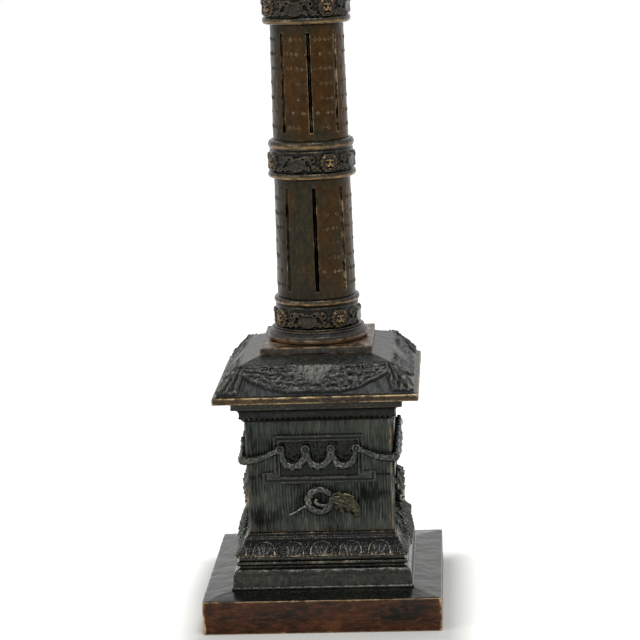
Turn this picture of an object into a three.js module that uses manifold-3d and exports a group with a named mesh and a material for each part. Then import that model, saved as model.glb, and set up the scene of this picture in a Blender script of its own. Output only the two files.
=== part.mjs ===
// Column candlestick in patinated bronze: a square hollow-cast pedestal with a garlanded tablet on each face,
// a hipped cap hung with drapery, a banded round column with lion-mask collars, a leaf capital, a drip pan
// and a candle cup with a loose bobeche. One steel tie rod holds the stack together.
//
// Units are millimetres. +Z is up, the front faces -Y, and the origin is the centre of the underside.

import * as THREE from "three";
import { mergeVertices } from "three/addons/utils/BufferGeometryUtils.js";
import Module from "manifold-3d";

const wasm = await Module();
wasm.setup();

// Driving heights, from the underside up: each is the top of the piece that it names
const LEVEL = {
  slabEdge: 17.2,
  slab: 18.6,
  plinthCourse: 30,
  beadCourse: 34.6,
  leafCourse: 45.8,
  die: 104.2,
  cornice: 116.1,
  capEdge: 119.4,
  capEaves: 133.3,
  cap: 136.2,
  columnPlinth: 139.8,
  columnTorus: 146.2,
  lowerCollar: 162.2,
  lowerDrum: 222.8,
  middleCollar: 242.4,
  middleDrum: 300,
  upperCollar: 319.4,
  upperDrum: 375,
  neckRing: 379,
  capital: 403,
  abacus: 408,
  panSeat: 411,
  panRim: 416,
  cupFloor: 423,
  cup: 446,
};

// Driving half widths of the square courses
const HALF = {
  slab: 60,
  plinthCourse: 46.2,
  beadCourse: 43.4,
  leafCourse: 43.7,
  die: 36.5,
  cornice: 42.9,
  cap: 51.4,
  capEaves: 37.5,
  columnPlinth: 28.3,
  hollow: 31.5,
};

// Driving radii of the round pieces
const RADIUS = {
  shaftFoot: 20,
  shaftTop: 17.6,
  shaftWall: 3.2,
  torus: 25.7,
  collarBand: 21.2,
  collarRing: 22.4,
  pan: 36,
  cup: 19.6,
  cupBore: 16.2,
  bobeche: 27,
  bobecheBore: 14.6,
  rod: 3.4,
  rodHole: 3.9,
};

const FIT_GAP = 0.3; // between a piece and what it is carved to fit over
const PANELS = 8; // panels round the shaft, with a slot between each two
const COLUMN_TURN = THREE.MathUtils.degToRad(5); // the column sits a little turned on its pedestal
const ROUND = 22; // facets round the column
const SMALL_ROUND = 12; // facets round holes and the rod

const PATINA = {
  green: { color: 0x23261f, roughness: 0.5, metalness: 0.85 },
  brown: { color: 0x2f2219, roughness: 0.45, metalness: 0.85 },
  red: { color: 0x3c2018, roughness: 0.5, metalness: 0.8 },
  steel: { color: 0x5a5a58, roughness: 0.5, metalness: 1 },
};

// Making solids

const TAU = Math.PI * 2;
const SMOOTHING = 0.03; // how far a facet may move when needless ones are merged

function solidOf(geometry) {
  const bare = geometry.index ? geometry.toNonIndexed() : geometry.clone();
  bare.deleteAttribute("normal");
  bare.deleteAttribute("uv");
  const merged = mergeVertices(bare, 1e-4);
  return new wasm.Manifold(
    new wasm.Mesh({
      numProp: 3,
      vertProperties: new Float32Array(merged.attributes.position.array),
      triVerts: new Uint32Array(merged.index.array),
    }),
  );
}

function geometryOf(solid) {
  const mesh = solid.asOriginal().simplify(SMOOTHING).getMesh();
  const geometry = new THREE.BufferGeometry();
  geometry.setAttribute("position", new THREE.BufferAttribute(mesh.vertProperties, mesh.numProp));
  geometry.setIndex(new THREE.BufferAttribute(mesh.triVerts, 1));
  geometry.computeVertexNormals();
  return geometry;
}

const joined = (solids) => solids.reduce((all, one) => all.add(one));

const moved = (solid, x, y, z) => solid.translate([x, y, z]);

const turned = (solid, degrees) => solid.rotate([0, 0, degrees]);

// A profile of [radius, height] points, turned about +Z; it runs up its outside
function lathe(profile, facets = ROUND, phase = 0) {
  const points = profile.map(([r, z]) => new THREE.Vector2(r, z));
  const geometry = new THREE.LatheGeometry(points, facets, phase, TAU);
  return solidOf(geometry.rotateX(Math.PI / 2));
}

// The same for a square course, where the profile holds [half width, height]
function squareLathe(profile) {
  return lathe(
    profile.map(([half, z]) => [half * Math.SQRT2, z]),
    4,
    Math.PI / 4,
  );
}

const closed = (profile) => [...profile, profile[0]];

// A hollow course: the outer profile going up, closed by a plain inner wall
function hollowCourse(outer, inner) {
  const low = outer[0][1];
  const high = outer.at(-1)[1];
  return squareLathe(closed([...outer, [inner, high], [inner, low]]));
}

function hollowRound(outer, inner, facets = ROUND) {
  const low = outer[0][1];
  const high = outer.at(-1)[1];
  return lathe(closed([...outer, [inner, high], [inner, low]]), facets);
}

function rod(radius, low, high, facets = SMALL_ROUND) {
  return lathe([[0, low], [radius, low], [radius, high], [0, high]], facets);
}

function box(x0, x1, y0, y1, z0, z1) {
  const geometry = new THREE.BoxGeometry(x1 - x0, y1 - y0, z1 - z0);
  return solidOf(geometry.translate((x0 + x1) / 2, (y0 + y1) / 2, (z0 + z1) / 2));
}

// Arc points of a profile, from one angle to another in degrees; 0 points outwards and 90 up
function arc(radius, height, r, from, to, steps) {
  return Array.from({ length: steps + 1 }, (_, i) => {
    const a = THREE.MathUtils.degToRad(from + ((to - from) * i) / steps);
    return [radius + r * Math.cos(a), height + r * Math.sin(a)];
  });
}

// A flat outline of [x, z] points, raised from y = 0 towards the front, with a bevelled edge
function relief(outline, depth, bevel = 0) {
  const shape = new THREE.Shape(outline.map(([x, z]) => new THREE.Vector2(x, z)));
  const geometry = new THREE.ExtrudeGeometry(shape, {
    depth: depth - bevel,
    bevelEnabled: bevel > 0,
    bevelThickness: bevel,
    bevelSize: bevel,
    bevelOffset: -bevel,
    bevelSegments: 1,
    curveSegments: 8,
  });
  const solid = solidOf(geometry.rotateX(Math.PI / 2));
  return bevel > 0 ? solid.subtract(box(-99, 99, 0, 9, -99, 99)) : solid;
}

// Turns an extruded side view, so that its x points out of the front face and its length runs across it
function sideways(geometry, half) {
  return geometry.applyMatrix4(
    new THREE.Matrix4().set(0, 0, -1, half, -1, 0, 0, 0, 0, 1, 0, 0, 0, 0, 0, 1),
  );
}

// A round bar along a curve of [x, y, z] points
function bar(points, radius, steps, sides = 6) {
  const section = new THREE.Shape();
  for (let i = 0; i < sides; i++) {
    const a = (TAU * (i + 0.5)) / sides;
    const go = i ? "lineTo" : "moveTo";
    section[go](radius * Math.cos(a), radius * Math.sin(a));
  }
  const path = new THREE.CatmullRomCurve3(points.map((p) => new THREE.Vector3(...p)));
  return solidOf(new THREE.ExtrudeGeometry(section, { steps, extrudePath: path, bevelEnabled: false }));
}

// An egg shape of full size w, d, h, centred on the origin
function egg(w, d, h, around = 8, up = 5) {
  const geometry = new THREE.SphereGeometry(0.5, around, up);
  return solidOf(geometry.rotateX(Math.PI / 2).scale(w, d, h));
}

const pieces = new THREE.Group();

function piece(name, solid, patina, group = pieces) {
  const mesh = new THREE.Mesh(geometryOf(solid), new THREE.MeshStandardMaterial(patina));
  mesh.name = name;
  group.add(mesh);
  return mesh;
}

// Base slab: a hollow casting, open below, whose top falls a little from the pedestal to the edge

const SLAB_WALL = 4.5;
const SLAB_CEILING = 13.2;

function baseSlab() {
  const edge = 0.7;
  const body = squareLathe([
    [0, 0],
    [HALF.slab - edge, 0],
    [HALF.slab, edge],
    [HALF.slab, LEVEL.slabEdge - edge],
    [HALF.slab - edge, LEVEL.slabEdge],
    [HALF.plinthCourse, LEVEL.slab],
    [0, LEVEL.slab],
  ]);
  const inside = HALF.slab - SLAB_WALL;
  return body
    .subtract(box(-inside, inside, -inside, inside, -1, SLAB_CEILING))
    .subtract(rod(RADIUS.rodHole, 0, LEVEL.slab + 1));
}

// Pedestal courses

function plinthCourse() {
  return hollowCourse(
    [
      [HALF.plinthCourse, LEVEL.slab],
      [HALF.plinthCourse - 0.7, 25.2],
      [HALF.plinthCourse - 1.3, 26.9],
      [HALF.plinthCourse - 2.6, 28.3],
      [HALF.plinthCourse - 4.2, 29.1],
      [HALF.plinthCourse - 4.4, LEVEL.plinthCourse],
    ],
    HALF.hollow,
  );
}

function beadCourse() {
  return hollowCourse(
    [
      [HALF.beadCourse - 1.6, LEVEL.plinthCourse],
      [HALF.beadCourse - 0.5, 31],
      [HALF.beadCourse, 31.6],
      [HALF.beadCourse, 33],
      [HALF.beadCourse - 1.8, 33.4],
      [HALF.beadCourse - 1.8, LEVEL.beadCourse],
    ],
    HALF.hollow,
  );
}

// Leaf moulding: a cyma with a row of upright leaves on every side, and darts between them

const LEAVES = { perSide: 5, pitch: 15.6, width: 12.4, dart: 2.6, foot: 36.2, tip: 43.1 };

const LEAF_PROFILE = [
  [HALF.leafCourse - 0.9, LEVEL.beadCourse],
  [HALF.leafCourse, 35.2],
  [HALF.leafCourse, 36.2],
  [HALF.leafCourse - 1.3, 37.6],
  [HALF.leafCourse - 3.4, 40],
  [HALF.leafCourse - 5, 43.1],
  [HALF.leafCourse - 5.4, 43.4],
  [HALF.leafCourse - 5.4, 44.5],
  [HALF.die + 0.9, 44.8],
  [HALF.die + 0.9, LEVEL.leafCourse],
];

// One leaf or dart stands on the lip of the moulding and leans back with it: made upright and then sheared
const LEAF = [[-0.85, 0], [0.85, 0], [1, 0.45], [0, 1], [-1, 0.45]];
const DART = [[-1, 0.9], [0, 0], [1, 0.9]];

function mouldingLeaf(shape, width, proud) {
  const h = LEAVES.tip - LEAVES.foot;
  const outline = shape.map(([x, z]) => [(x * width) / 2, z * h]);
  const lean = 5 / h;
  return relief(outline, proud).transform([1, 0, 0, 0, 0, 1, 0, 0, 0, lean, 1, 0, 0, 0, 0, 1]);
}

function leafCourse() {
  const ring = hollowCourse(LEAF_PROFILE, HALF.hollow);
  const bed = -(HALF.leafCourse - 1.5);
  const row = [];
  for (let i = 0; i < LEAVES.perSide; i++) {
    const x = (i - (LEAVES.perSide - 1) / 2) * LEAVES.pitch;
    row.push(moved(mouldingLeaf(LEAF, LEAVES.width, 2.4), x, bed, LEAVES.foot));
    if (i) row.push(moved(mouldingLeaf(DART, LEAVES.dart, 1.9), x - LEAVES.pitch / 2, bed, LEAVES.foot));
  }
  const side = joined(row);
  return joined([ring, ...[0, 90, 180, 270].map((a) => turned(side, a))]);
}

// Die: the pedestal's hollow body, with a scored line round it at the foot of the tablets

const SCORE = { z: 75.3, high: 0.5, deep: 0.4 };

function die() {
  return hollowCourse(
    [
      [HALF.die, LEVEL.leafCourse],
      [HALF.die, SCORE.z - SCORE.high],
      [HALF.die - SCORE.deep, SCORE.z],
      [HALF.die, SCORE.z + SCORE.high],
      [HALF.die, LEVEL.die],
    ],
    HALF.hollow,
  );
}

// Cornice: a bed moulding, a fillet, a hollow and a flat corona

function cornice() {
  return hollowCourse(
    [
      [HALF.die + 0.9, LEVEL.die],
      [HALF.die + 1.3, 105],
      [HALF.die + 2.7, 106.6],
      [HALF.die + 2.7, 109],
      [HALF.die + 3.4, 110.2],
      [HALF.die + 5.2, 111],
      [HALF.cornice, 111.2],
      [HALF.cornice, LEVEL.cornice],
    ],
    HALF.hollow,
  );
}

// Tablet: an eared frame with a wide sill, a sunk field and a thin back plate

const TABLET = {
  half: 22.6,
  top: 96.7,
  head: 93.4,
  field: 19.6,
  sillHalf: 28.6,
  sillTop: 77.6,
  fieldFoot: 75.3,
  foot: 71.7,
  plate: 0.5,
  proud: 1.4,
  sillProud: 1.9,
};

function tablet() {
  const t = TABLET;
  const plate = box(-t.half, t.half, -t.plate, 0, t.foot, t.top);
  const head = box(-t.half, t.half, -t.proud, 0, t.head, t.top);
  const jamb = box(t.field, t.half, -t.proud, 0, t.sillTop - 0.5, t.head + 0.5);
  const jambs = jamb.add(jamb.mirror([1, 0, 0]));
  const sill = box(-t.sillHalf, t.sillHalf, -t.sillProud, 0, t.foot, t.fieldFoot);
  const ear = box(t.field, t.sillHalf, -t.proud, 0, t.fieldFoot - 0.5, t.sillTop);
  return joined([plate, head, jambs, sill, ear, ear.mirror([1, 0, 0])]);
}

// Garland: four rosettes, three loops between them and a rope to each corner of the die

const GARLAND = {
  rosettes: [-19.2, -6.4, 6.4, 19.2],
  rosetteHeight: 89.9,
  rosetteRadius: 2.5,
  loopFoot: 81.2,
  loopRadius: 1.7,
  ropeRadius: 2.1,
  cornerHeight: 84.4,
  standOff: 1.9,
};

function rosette() {
  const r = GARLAND.rosetteRadius;
  const back = TABLET.plate;
  const cup = lathe(
    [[0, back], [r, back], [r, 3.1], [r * 0.5, 3.2], [0, 3.9]],
    6,
  );
  return cup.rotate([90, 0, 0]);
}

function garland() {
  const g = GARLAND;
  const y = -g.standOff - TABLET.plate;
  const parts = [];
  for (const x of g.rosettes) parts.push(moved(rosette(), x, 0, g.rosetteHeight));
  for (let i = 0; i < 3; i++) {
    const [a, b] = [g.rosettes[i], g.rosettes[i + 1]];
    const sag = g.rosetteHeight - g.loopFoot;
    const loop = [];
    for (let k = 0; k <= 6; k++) {
      const t = (Math.PI * k) / 6;
      loop.push([(a + b) / 2 - (0.46 * (b - a)) * Math.cos(t), y, g.rosetteHeight - sag * Math.sin(t) ** 0.8]);
    }
    parts.push(bar(loop, g.loopRadius, 6, 4));
  }
  const last = g.rosettes.at(-1);
  const end = HALF.die + 4;
  const corner = [
    [last, y, g.rosetteHeight - 0.3],
    [last + 5, y, g.rosetteHeight - 2.6],
    [last + 10, y + 0.2, g.cornerHeight + 0.5],
    [HALF.die - 3, y + 0.4, g.cornerHeight],
    [end, y + 0.4, g.cornerHeight],
  ];
  const rope = bar(corner, g.ropeRadius, 5, 5);
  parts.push(rope, rope.mirror([1, 0, 0]));
  // It stands on the tablet's plate, and past the tablet on the die itself
  const standing = joined(parts).subtract(box(-99, 99, 0, 99, 0, 199)).subtract(tabletRoom());
  return mitred(standing);
}

// The room that the tablet takes, which the garland is carved to clear
function tabletRoom() {
  const t = TABLET;
  const gap = FIT_GAP;
  const plate = box(-t.half - gap, t.half + gap, -t.plate, 1, t.foot, t.top);
  const jamb = box(t.field - gap, t.half + gap, -t.proud, 1, t.foot, t.top);
  return joined([plate, jamb, jamb.mirror([1, 0, 0])]);
}

// Cuts a face ornament where it meets its neighbour at the corners of the die
function mitred(solid) {
  const half = HALF.die;
  const reach = 12;
  const gap = FIT_GAP / 2;
  const outline = [
    [-half - reach + gap, -reach],
    [half + reach - gap, -reach],
    [half - gap, 0],
    [-half + gap, 0],
  ];
  const shape = new THREE.Shape(outline.map(([x, y]) => new THREE.Vector2(x, y)));
  const wedge = solidOf(new THREE.ExtrudeGeometry(shape, { depth: 130, bevelEnabled: false }));
  return solid.intersect(wedge);
}

// Crown: a laurel ring with a palm frond laid through it, its stem to the left and its leaves to the right

const CROWN = { x: -0.2, z: 62.4, ring: 5.9, tube: 1.75 };

function crown() {
  const torus = new THREE.TorusGeometry(CROWN.ring, CROWN.tube, 5, 14);
  const ring = moved(solidOf(torus.rotateX(Math.PI / 2)), CROWN.x, -1, CROWN.z);
  const stem = bar([[-15.9, -0.5, 55.2], [-8, -0.9, 59.6], [-1, -1, 61.5], [6, -1.2, 61.6]], 0.75, 4, 5);
  const outline = [
    [3.6, 58.9],
    [7.2, 57.2],
    [12, 57.7],
    [15.2, 56.4],
    [16.2, 53.6],
    [18.2, 52.6],
    [19.8, 54.2],
    [20.8, 57.6],
    [20.2, 61.4],
    [16.4, 64.9],
    [10.2, 65.8],
    [5, 65.6],
  ];
  const frond = relief(outline, 2.6, 0.8);
  return joined([ring, stem, frond]).subtract(box(-99, 99, 0, 9, 0, 199));
}

// Side trophy: a bolster of laurel leaves that lies over the mouldings, with a round boss above it

const TROPHY = { half: 17, foot: LEVEL.plinthCourse, top: 53, out: 9.6, bossRadius: 8, bossHeight: 62, bossOut: 5.6 };

// The bolster is a heap, rounded from the side and arched from the front
function bolster() {
  const t = TROPHY;
  const side = new THREE.Shape();
  side.moveTo(0, t.foot);
  side.lineTo(t.out - 1.2, t.foot);
  side.quadraticCurveTo(t.out + 0.6, t.foot + 6, t.out - 2, t.foot + 13);
  side.quadraticCurveTo(t.out - 4, t.top - 1.5, 2.6, t.top);
  side.lineTo(0, t.top - 0.4);
  const across = new THREE.ExtrudeGeometry(side, { depth: 2 * t.half, bevelEnabled: false, curveSegments: 3 });
  const arch = [];
  for (let i = 0; i <= 8; i++) {
    const a = (Math.PI * i) / 8;
    arch.push([t.half * Math.cos(a), t.foot + 9 + (t.top - t.foot - 9) * Math.sin(a)]);
  }
  const front = relief([[-t.half + 1, t.foot], [t.half - 1, t.foot], ...arch], 20);
  return solidOf(sideways(across, t.half)).intersect(front);
}

function boss() {
  const t = TROPHY;
  const r = t.bossRadius;
  const dome = lathe(
    [[0, 0], [r, 0], [r, 2.6], [r - 1, 4.4], [r - 2.6, 5], [r - 4, 4.2], [2.2, 4.2], [0, t.bossOut]],
    14,
  );
  return moved(dome.rotate([90, 0, 0]), 0, 0, t.bossHeight);
}

// The mouldings that the bolster is hollowed to lie over, a fitting gap larger
function mouldingRoom() {
  const swell = ([half, z]) => [half + FIT_GAP, z];
  const leaves = LEAF_PROFILE.map(swell);
  leaves[2] = [HALF.leafCourse + 1.2, LEAVES.foot];
  leaves[3] = [HALF.leafCourse + 0.9, 37.8];
  leaves[4] = [HALF.leafCourse - 1, 41];
  leaves[5] = [HALF.leafCourse - 2.6, LEAVES.tip + FIT_GAP];
  return squareLathe([
    [0, LEVEL.plinthCourse - 1],
    [HALF.beadCourse + FIT_GAP, LEVEL.plinthCourse - 1],
    [HALF.beadCourse + FIT_GAP, LEVEL.beadCourse],
    ...leaves,
    [HALF.die, LEVEL.leafCourse + FIT_GAP],
    [HALF.die, 110],
    [0, 110],
  ]);
}

function sideTrophy() {
  const knot = moved(egg(7, 5, 5.6), 0, -1.2, TROPHY.top);
  const upright = joined([bolster(), boss(), knot]);
  return moved(upright, 0, -HALF.die, 0).subtract(mouldingRoom());
}

// Cap: a thin slab with a hipped roof. A cloth hangs in a swag over each slope, and falls in a tail over each hip.

const CAP_SLOPE = { foot: 49.4, footHeight: 120, top: HALF.capEaves, topHeight: LEVEL.capEaves };
const SLOPE_RUN = CAP_SLOPE.foot - CAP_SLOPE.top;
const SLOPE_RISE = CAP_SLOPE.topHeight - CAP_SLOPE.footHeight;
const SLOPE_LENGTH = Math.hypot(SLOPE_RUN, SLOPE_RISE);
const SWAG = { topHalf: 33.5, top: 16.6, foot: 1.4, thick: 1.5 };
const TAIL = { top: 16.8, topWidth: 3.6, foot: 1, footWidth: 10.5, thick: 2 };

// Lays a solid that was made upright, with z up the slope and -y out of it, on the front slope
function onSlope(solid) {
  const lean = THREE.MathUtils.radToDeg(Math.atan2(SLOPE_RUN, SLOPE_RISE));
  return moved(solid.rotate([-lean, 0, 0]), 0, -CAP_SLOPE.foot, CAP_SLOPE.footHeight);
}

function swag() {
  const w = SWAG;
  const lower = [];
  const steps = 8;
  for (let i = 0; i <= steps; i++) {
    const t = (2 * i) / steps - 1;
    const rise = Math.max(0, (Math.abs(t) - 0.3) / 0.7) ** 1.25;
    lower.push([t * w.topHalf, w.foot + (w.top - w.foot) * rise]);
  }
  const sheet = relief([...lower], w.thick, 0.6);
  const folds = [0.42, 0.72].map((sag) => {
    const line = lower.map(([x, s]) => [x * (0.4 + 0.6 * sag), -w.thick + 0.2, w.top - (w.top - s) * sag]);
    return bar(line, 0.9, 6, 4);
  });
  return onSlope(joined([sheet, ...folds]));
}

// Half of a tail lies on the front slope; its mirror image lies on the next slope, so they meet along the hip
function hipTail() {
  const hip = (s) => CAP_SLOPE.foot - (SLOPE_RUN * s) / SLOPE_LENGTH;
  const at = (s, width, lift) => [hip(s) - width, -lift, s];
  const fold = (from, to, lift) =>
    wasm.Manifold.hull([
      at(TAIL.top, from * TAIL.topWidth, -1),
      at(TAIL.top, to * TAIL.topWidth, -1),
      at(TAIL.top, (from + to) * 0.5 * TAIL.topWidth, lift * 0.7),
      at(TAIL.foot, from * TAIL.footWidth, -1),
      at(TAIL.foot, to * TAIL.footWidth, -1),
      at(TAIL.foot, (from + to) * 0.5 * TAIL.footWidth, lift),
    ]);
  const half = onSlope(joined([fold(-0.2, 0.25, 1.2), fold(0.1, 0.6, TAIL.thick), fold(0.5, 1, TAIL.thick)]));
  return half.add(turned(half.mirror([1, 0, 0]), 90));
}

function cap() {
  const edge = 1;
  const shell = squareLathe([
    [0, LEVEL.cornice],
    [HALF.cap - edge * 0.6, LEVEL.cornice],
    [HALF.cap, LEVEL.cornice + edge],
    [HALF.cap, LEVEL.capEdge - edge],
    [HALF.cap - edge * 0.7, LEVEL.capEdge],
    [CAP_SLOPE.foot, CAP_SLOPE.footHeight],
    [CAP_SLOPE.top, CAP_SLOPE.topHeight],
    [HALF.columnPlinth, LEVEL.cap],
    [0, LEVEL.cap],
  ]);
  const hollow = squareLathe([
    [0, LEVEL.cornice - 1],
    [HALF.hollow, LEVEL.cornice - 1],
    [HALF.hollow, 125],
    [26, 131],
    [0, 131],
  ]);
  const cloth = swag().add(hipTail());
  const all = [0, 90, 180, 270].map((a) => turned(cloth, a));
  return joined([shell, ...all]).subtract(hollow).subtract(rod(RADIUS.rodHole, 120, 140));
}

// Column

function columnPlinth() {
  const edge = 0.4;
  return squareLathe([
    [0, LEVEL.cap],
    [HALF.columnPlinth, LEVEL.cap],
    [HALF.columnPlinth, LEVEL.columnPlinth - edge],
    [HALF.columnPlinth - edge, LEVEL.columnPlinth],
    [0, LEVEL.columnPlinth],
  ]).subtract(rod(RADIUS.rodHole, 130, 150));
}

const shaftRadius = (z) =>
  THREE.MathUtils.mapLinear(z, LEVEL.lowerCollar, LEVEL.upperDrum, RADIUS.shaftFoot, RADIUS.shaftTop);

const shaftBore = (z) => shaftRadius(z) - RADIUS.shaftWall;

function columnTorus() {
  const low = LEVEL.columnPlinth;
  const roll = 2.3;
  return hollowRound(
    [
      [RADIUS.torus - 1.6, low],
      ...arc(RADIUS.torus - roll, low + roll, roll, -50, 80, 3),
      [24, low + 2 * roll],
      [23.6, LEVEL.columnTorus],
    ],
    shaftBore(LEVEL.columnTorus),
  );
}

// Collar: a plain band between two rolled rings, with four lion masks and four cartouches on the band

const ROLL = 1.7;

function lionMask() {
  const mane = [];
  const lobes = 6;
  for (let i = 0; i < lobes * 2; i++) {
    const a = (TAU * i) / (lobes * 2) + Math.PI / 2;
    const r = i % 2 ? 3.4 : 4.3;
    mane.push([r * Math.cos(a), 1.12 * r * Math.sin(a)]);
  }
  const ruff = relief(mane, 1.7);
  const face = moved(egg(5.2, 3.4, 6.4, 6, 3), 0, -1.2, 0.3);
  const muzzle = moved(egg(3, 2.8, 2.6, 4, 3), 0, -2.3, -1.4);
  const brow = moved(egg(4.2, 1.8, 1.5, 4, 2), 0, -2.2, 1.6);
  return joined([ruff, face, muzzle, brow]);
}

function cartouche() {
  const outline = [
    [-4.6, 1.6],
    [-3, 2.9],
    [3, 2.9],
    [4.6, 1.6],
    [3.4, -2],
    [0, -3.7],
    [-3.4, -2],
  ];
  return relief(outline, 1.9);
}

function collar(low, high, { lowerRing, upperRing, turn }) {
  const band = RADIUS.collarBand;
  const ringCentre = RADIUS.collarRing - ROLL;
  const outer = [];
  if (lowerRing) outer.push([band - 1, low], ...arc(ringCentre, low + ROLL, ROLL, -65, 65, 2));
  else outer.push([band + 1.4, low], [band + 1.4, low + 0.8]);
  const foot = lowerRing ? low + 2 * ROLL + 0.3 : low + 1.2;
  const head = upperRing ? high - 2 * ROLL - 0.3 : high;
  outer.push([band, foot], [band, head]);
  if (upperRing) outer.push(...arc(ringCentre - 0.6, high - ROLL, ROLL, -65, 65, 2), [band - 1.6, high]);
  const ring = hollowRound(outer, shaftBore(high));
  const middle = (foot + head) / 2;
  const parts = [ring];
  for (let i = 0; i < 4; i++) {
    const quarter = turn + 22.5 + 90 * i;
    parts.push(turned(moved(lionMask(), 0, -band + 0.9, middle), quarter));
    parts.push(turned(moved(cartouche(), 0, -band + 0.9, middle), quarter + 45));
  }
  return joined(parts);
}

// Drum: one length of the shaft, with a blind slot between each two panels

const SLOT = { half: 0.65, deep: 1.1, fromEnd: 4.2 };

function drum(low, high) {
  const tube = lathe(
    closed([
      [shaftRadius(low), low],
      [shaftRadius(high), high],
      [shaftBore(high), high],
      [shaftBore(high), low],
    ]),
    ROUND,
  );
  const face = shaftRadius(low) + 1;
  const bed = shaftRadius((low + high) / 2) - SLOT.deep;
  const slot = box(-SLOT.half, SLOT.half, -face, -bed, low + SLOT.fromEnd, high - SLOT.fromEnd);
  const slots = Array.from({ length: PANELS }, (_, i) => turned(slot, (360 * i) / PANELS));
  return tube.subtract(joined(slots));
}

function neckRing() {
  const low = LEVEL.upperDrum;
  return hollowRound(
    [[18.4, low], ...arc(17.7, low + 1.9, 1.9, -65, 65, 3), [18.2, LEVEL.neckRing]],
    shaftBore(low),
  );
}

// Capital: a bell with two tiers of leaves and a volute under each corner of the abacus

const CAPITAL = { bellFoot: 17.4, bellTop: 21.5, lip: 23.2, leaves: 8 };

function capitalLeaf(width, low, high, curl) {
  const shape = new THREE.Shape();
  const foot = CAPITAL.bellFoot - 1;
  shape.moveTo(foot, low);
  shape.lineTo(foot + 2, low);
  shape.quadraticCurveTo(foot + 2.4, (low + high) / 2, foot + curl, high - 1.6);
  shape.lineTo(foot + curl + 0.8, high - 2.8);
  shape.quadraticCurveTo(foot + curl + 1, high, foot + curl - 1.4, high);
  shape.quadraticCurveTo(foot + 1, high - 1, foot, low + 4);
  const geometry = new THREE.ExtrudeGeometry(shape, { depth: width, bevelEnabled: false, curveSegments: 2 });
  const slab = solidOf(sideways(geometry, width / 2));
  const w = width / 2;
  const shoulder = high - width * 0.45;
  return slab.intersect(relief([[-w, low], [w, low], [w, shoulder], [0, high + 0.2], [-w, shoulder]], 60));
}

function volute() {
  const roll = lathe([[0, -2], [2.9, -2], [2.9, 2], [0, 2]], 8).rotate([90, 0, 90]);
  const stalk = bar([[0, -17.4, 389], [0, -19.6, 394], [0, -23.4, 397.6], [0, -26.4, 399.4]], 1.5, 3, 4);
  return joined([moved(roll, 0, -26.6, 399.4), stalk]);
}

function capital() {
  const low = LEVEL.neckRing;
  const high = LEVEL.capital;
  const bell = hollowRound(
    [
      [CAPITAL.bellFoot, low],
      [CAPITAL.bellFoot, low + 9],
      [CAPITAL.bellFoot + 1.4, low + 15],
      [CAPITAL.bellTop, low + 20],
      [CAPITAL.lip, low + 21.4],
      [CAPITAL.lip, high],
    ],
    shaftBore(LEVEL.upperDrum),
  );
  const parts = [bell];
  for (let i = 0; i < CAPITAL.leaves; i++) {
    const a = (360 * i) / CAPITAL.leaves;
    parts.push(turned(capitalLeaf(8.6, low + 0.2, low + 11, 4), a));
    parts.push(turned(capitalLeaf(7.4, low + 4, low + 18, 5.4), a + 180 / CAPITAL.leaves));
  }
  for (let i = 0; i < 4; i++) parts.push(turned(volute(), 45 + 90 * i));
  return joined(parts);
}

// Abacus: a square plate with hollowed sides and cut corners, and a flower in the middle of each side

const ABACUS = { corner: 26, cut: 2.6, hollow: 4.2 };

function abacus() {
  const { corner, cut, hollow } = ABACUS;
  const shape = new THREE.Shape();
  shape.moveTo(-corner + cut, -corner);
  for (let i = 0; i < 4; i++) {
    const turn = (x, y) => {
      const a = (Math.PI / 2) * i;
      return [x * Math.cos(a) - y * Math.sin(a), x * Math.sin(a) + y * Math.cos(a)];
    };
    shape.quadraticCurveTo(...turn(0, -corner + 2 * hollow), ...turn(corner - cut, -corner));
    shape.lineTo(...turn(corner, -corner + cut));
  }
  const bevel = 0.9;
  const depth = LEVEL.abacus - LEVEL.capital - 2 * bevel;
  const geometry = new THREE.ExtrudeGeometry(shape, {
    depth,
    bevelEnabled: true,
    bevelThickness: bevel,
    bevelSize: bevel,
    bevelOffset: -bevel,
    bevelSegments: 1,
    curveSegments: 4,
  });
  const plate = solidOf(geometry.translate(0, 0, LEVEL.capital + bevel));
  const flower = moved(egg(5.4, 3, 4.4, 6, 4), 0, -corner + hollow - 0.2, LEVEL.capital + 2.5);
  return joined([plate, ...[0, 90, 180, 270].map((a) => turned(flower, a))]).subtract(
    rod(RADIUS.rodHole, 400, 410),
  );
}

// Drip pan, candle cup and bobeche

function dripPan() {
  const r = RADIUS.pan;
  const seat = LEVEL.abacus;
  return lathe([
    [RADIUS.rodHole, seat],
    [19, seat],
    [21, seat + 0.8],
    [r - 4, seat + 2.2],
    [r - 0.8, seat + 4.6],
    ...arc(r, LEVEL.panRim - 1.2, 1.2, -60, 120, 3),
    [r - 5, seat + 4.4],
    [19, LEVEL.panSeat - 0.6],
    [15, LEVEL.panSeat],
    [RADIUS.rodHole, LEVEL.panSeat],
    [RADIUS.rodHole, seat],
  ]);
}

function candleCup() {
  const low = LEVEL.panSeat;
  const body = lathe([
    [0, low],
    [13.4, low],
    [13.4, low + 1.4],
    [10.2, low + 3.2],
    [9.2, low + 5.4],
    [12.6, low + 7.6],
    [17, low + 10.4],
    [18.8, low + 14.6],
    [18.4, low + 20],
    [17.6, low + 27],
    [17.9, low + 31],
    [RADIUS.cup, low + 32.6],
    [RADIUS.cup, LEVEL.cup - 0.4],
    [RADIUS.cup - 0.4, LEVEL.cup],
    [RADIUS.cupBore, LEVEL.cup],
    [RADIUS.cupBore, LEVEL.cupFloor],
    [0, LEVEL.cupFloor],
  ]);
  return body.subtract(rod(RADIUS.rod + FIT_GAP, low - 1, ROD.high + FIT_GAP));
}

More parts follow.
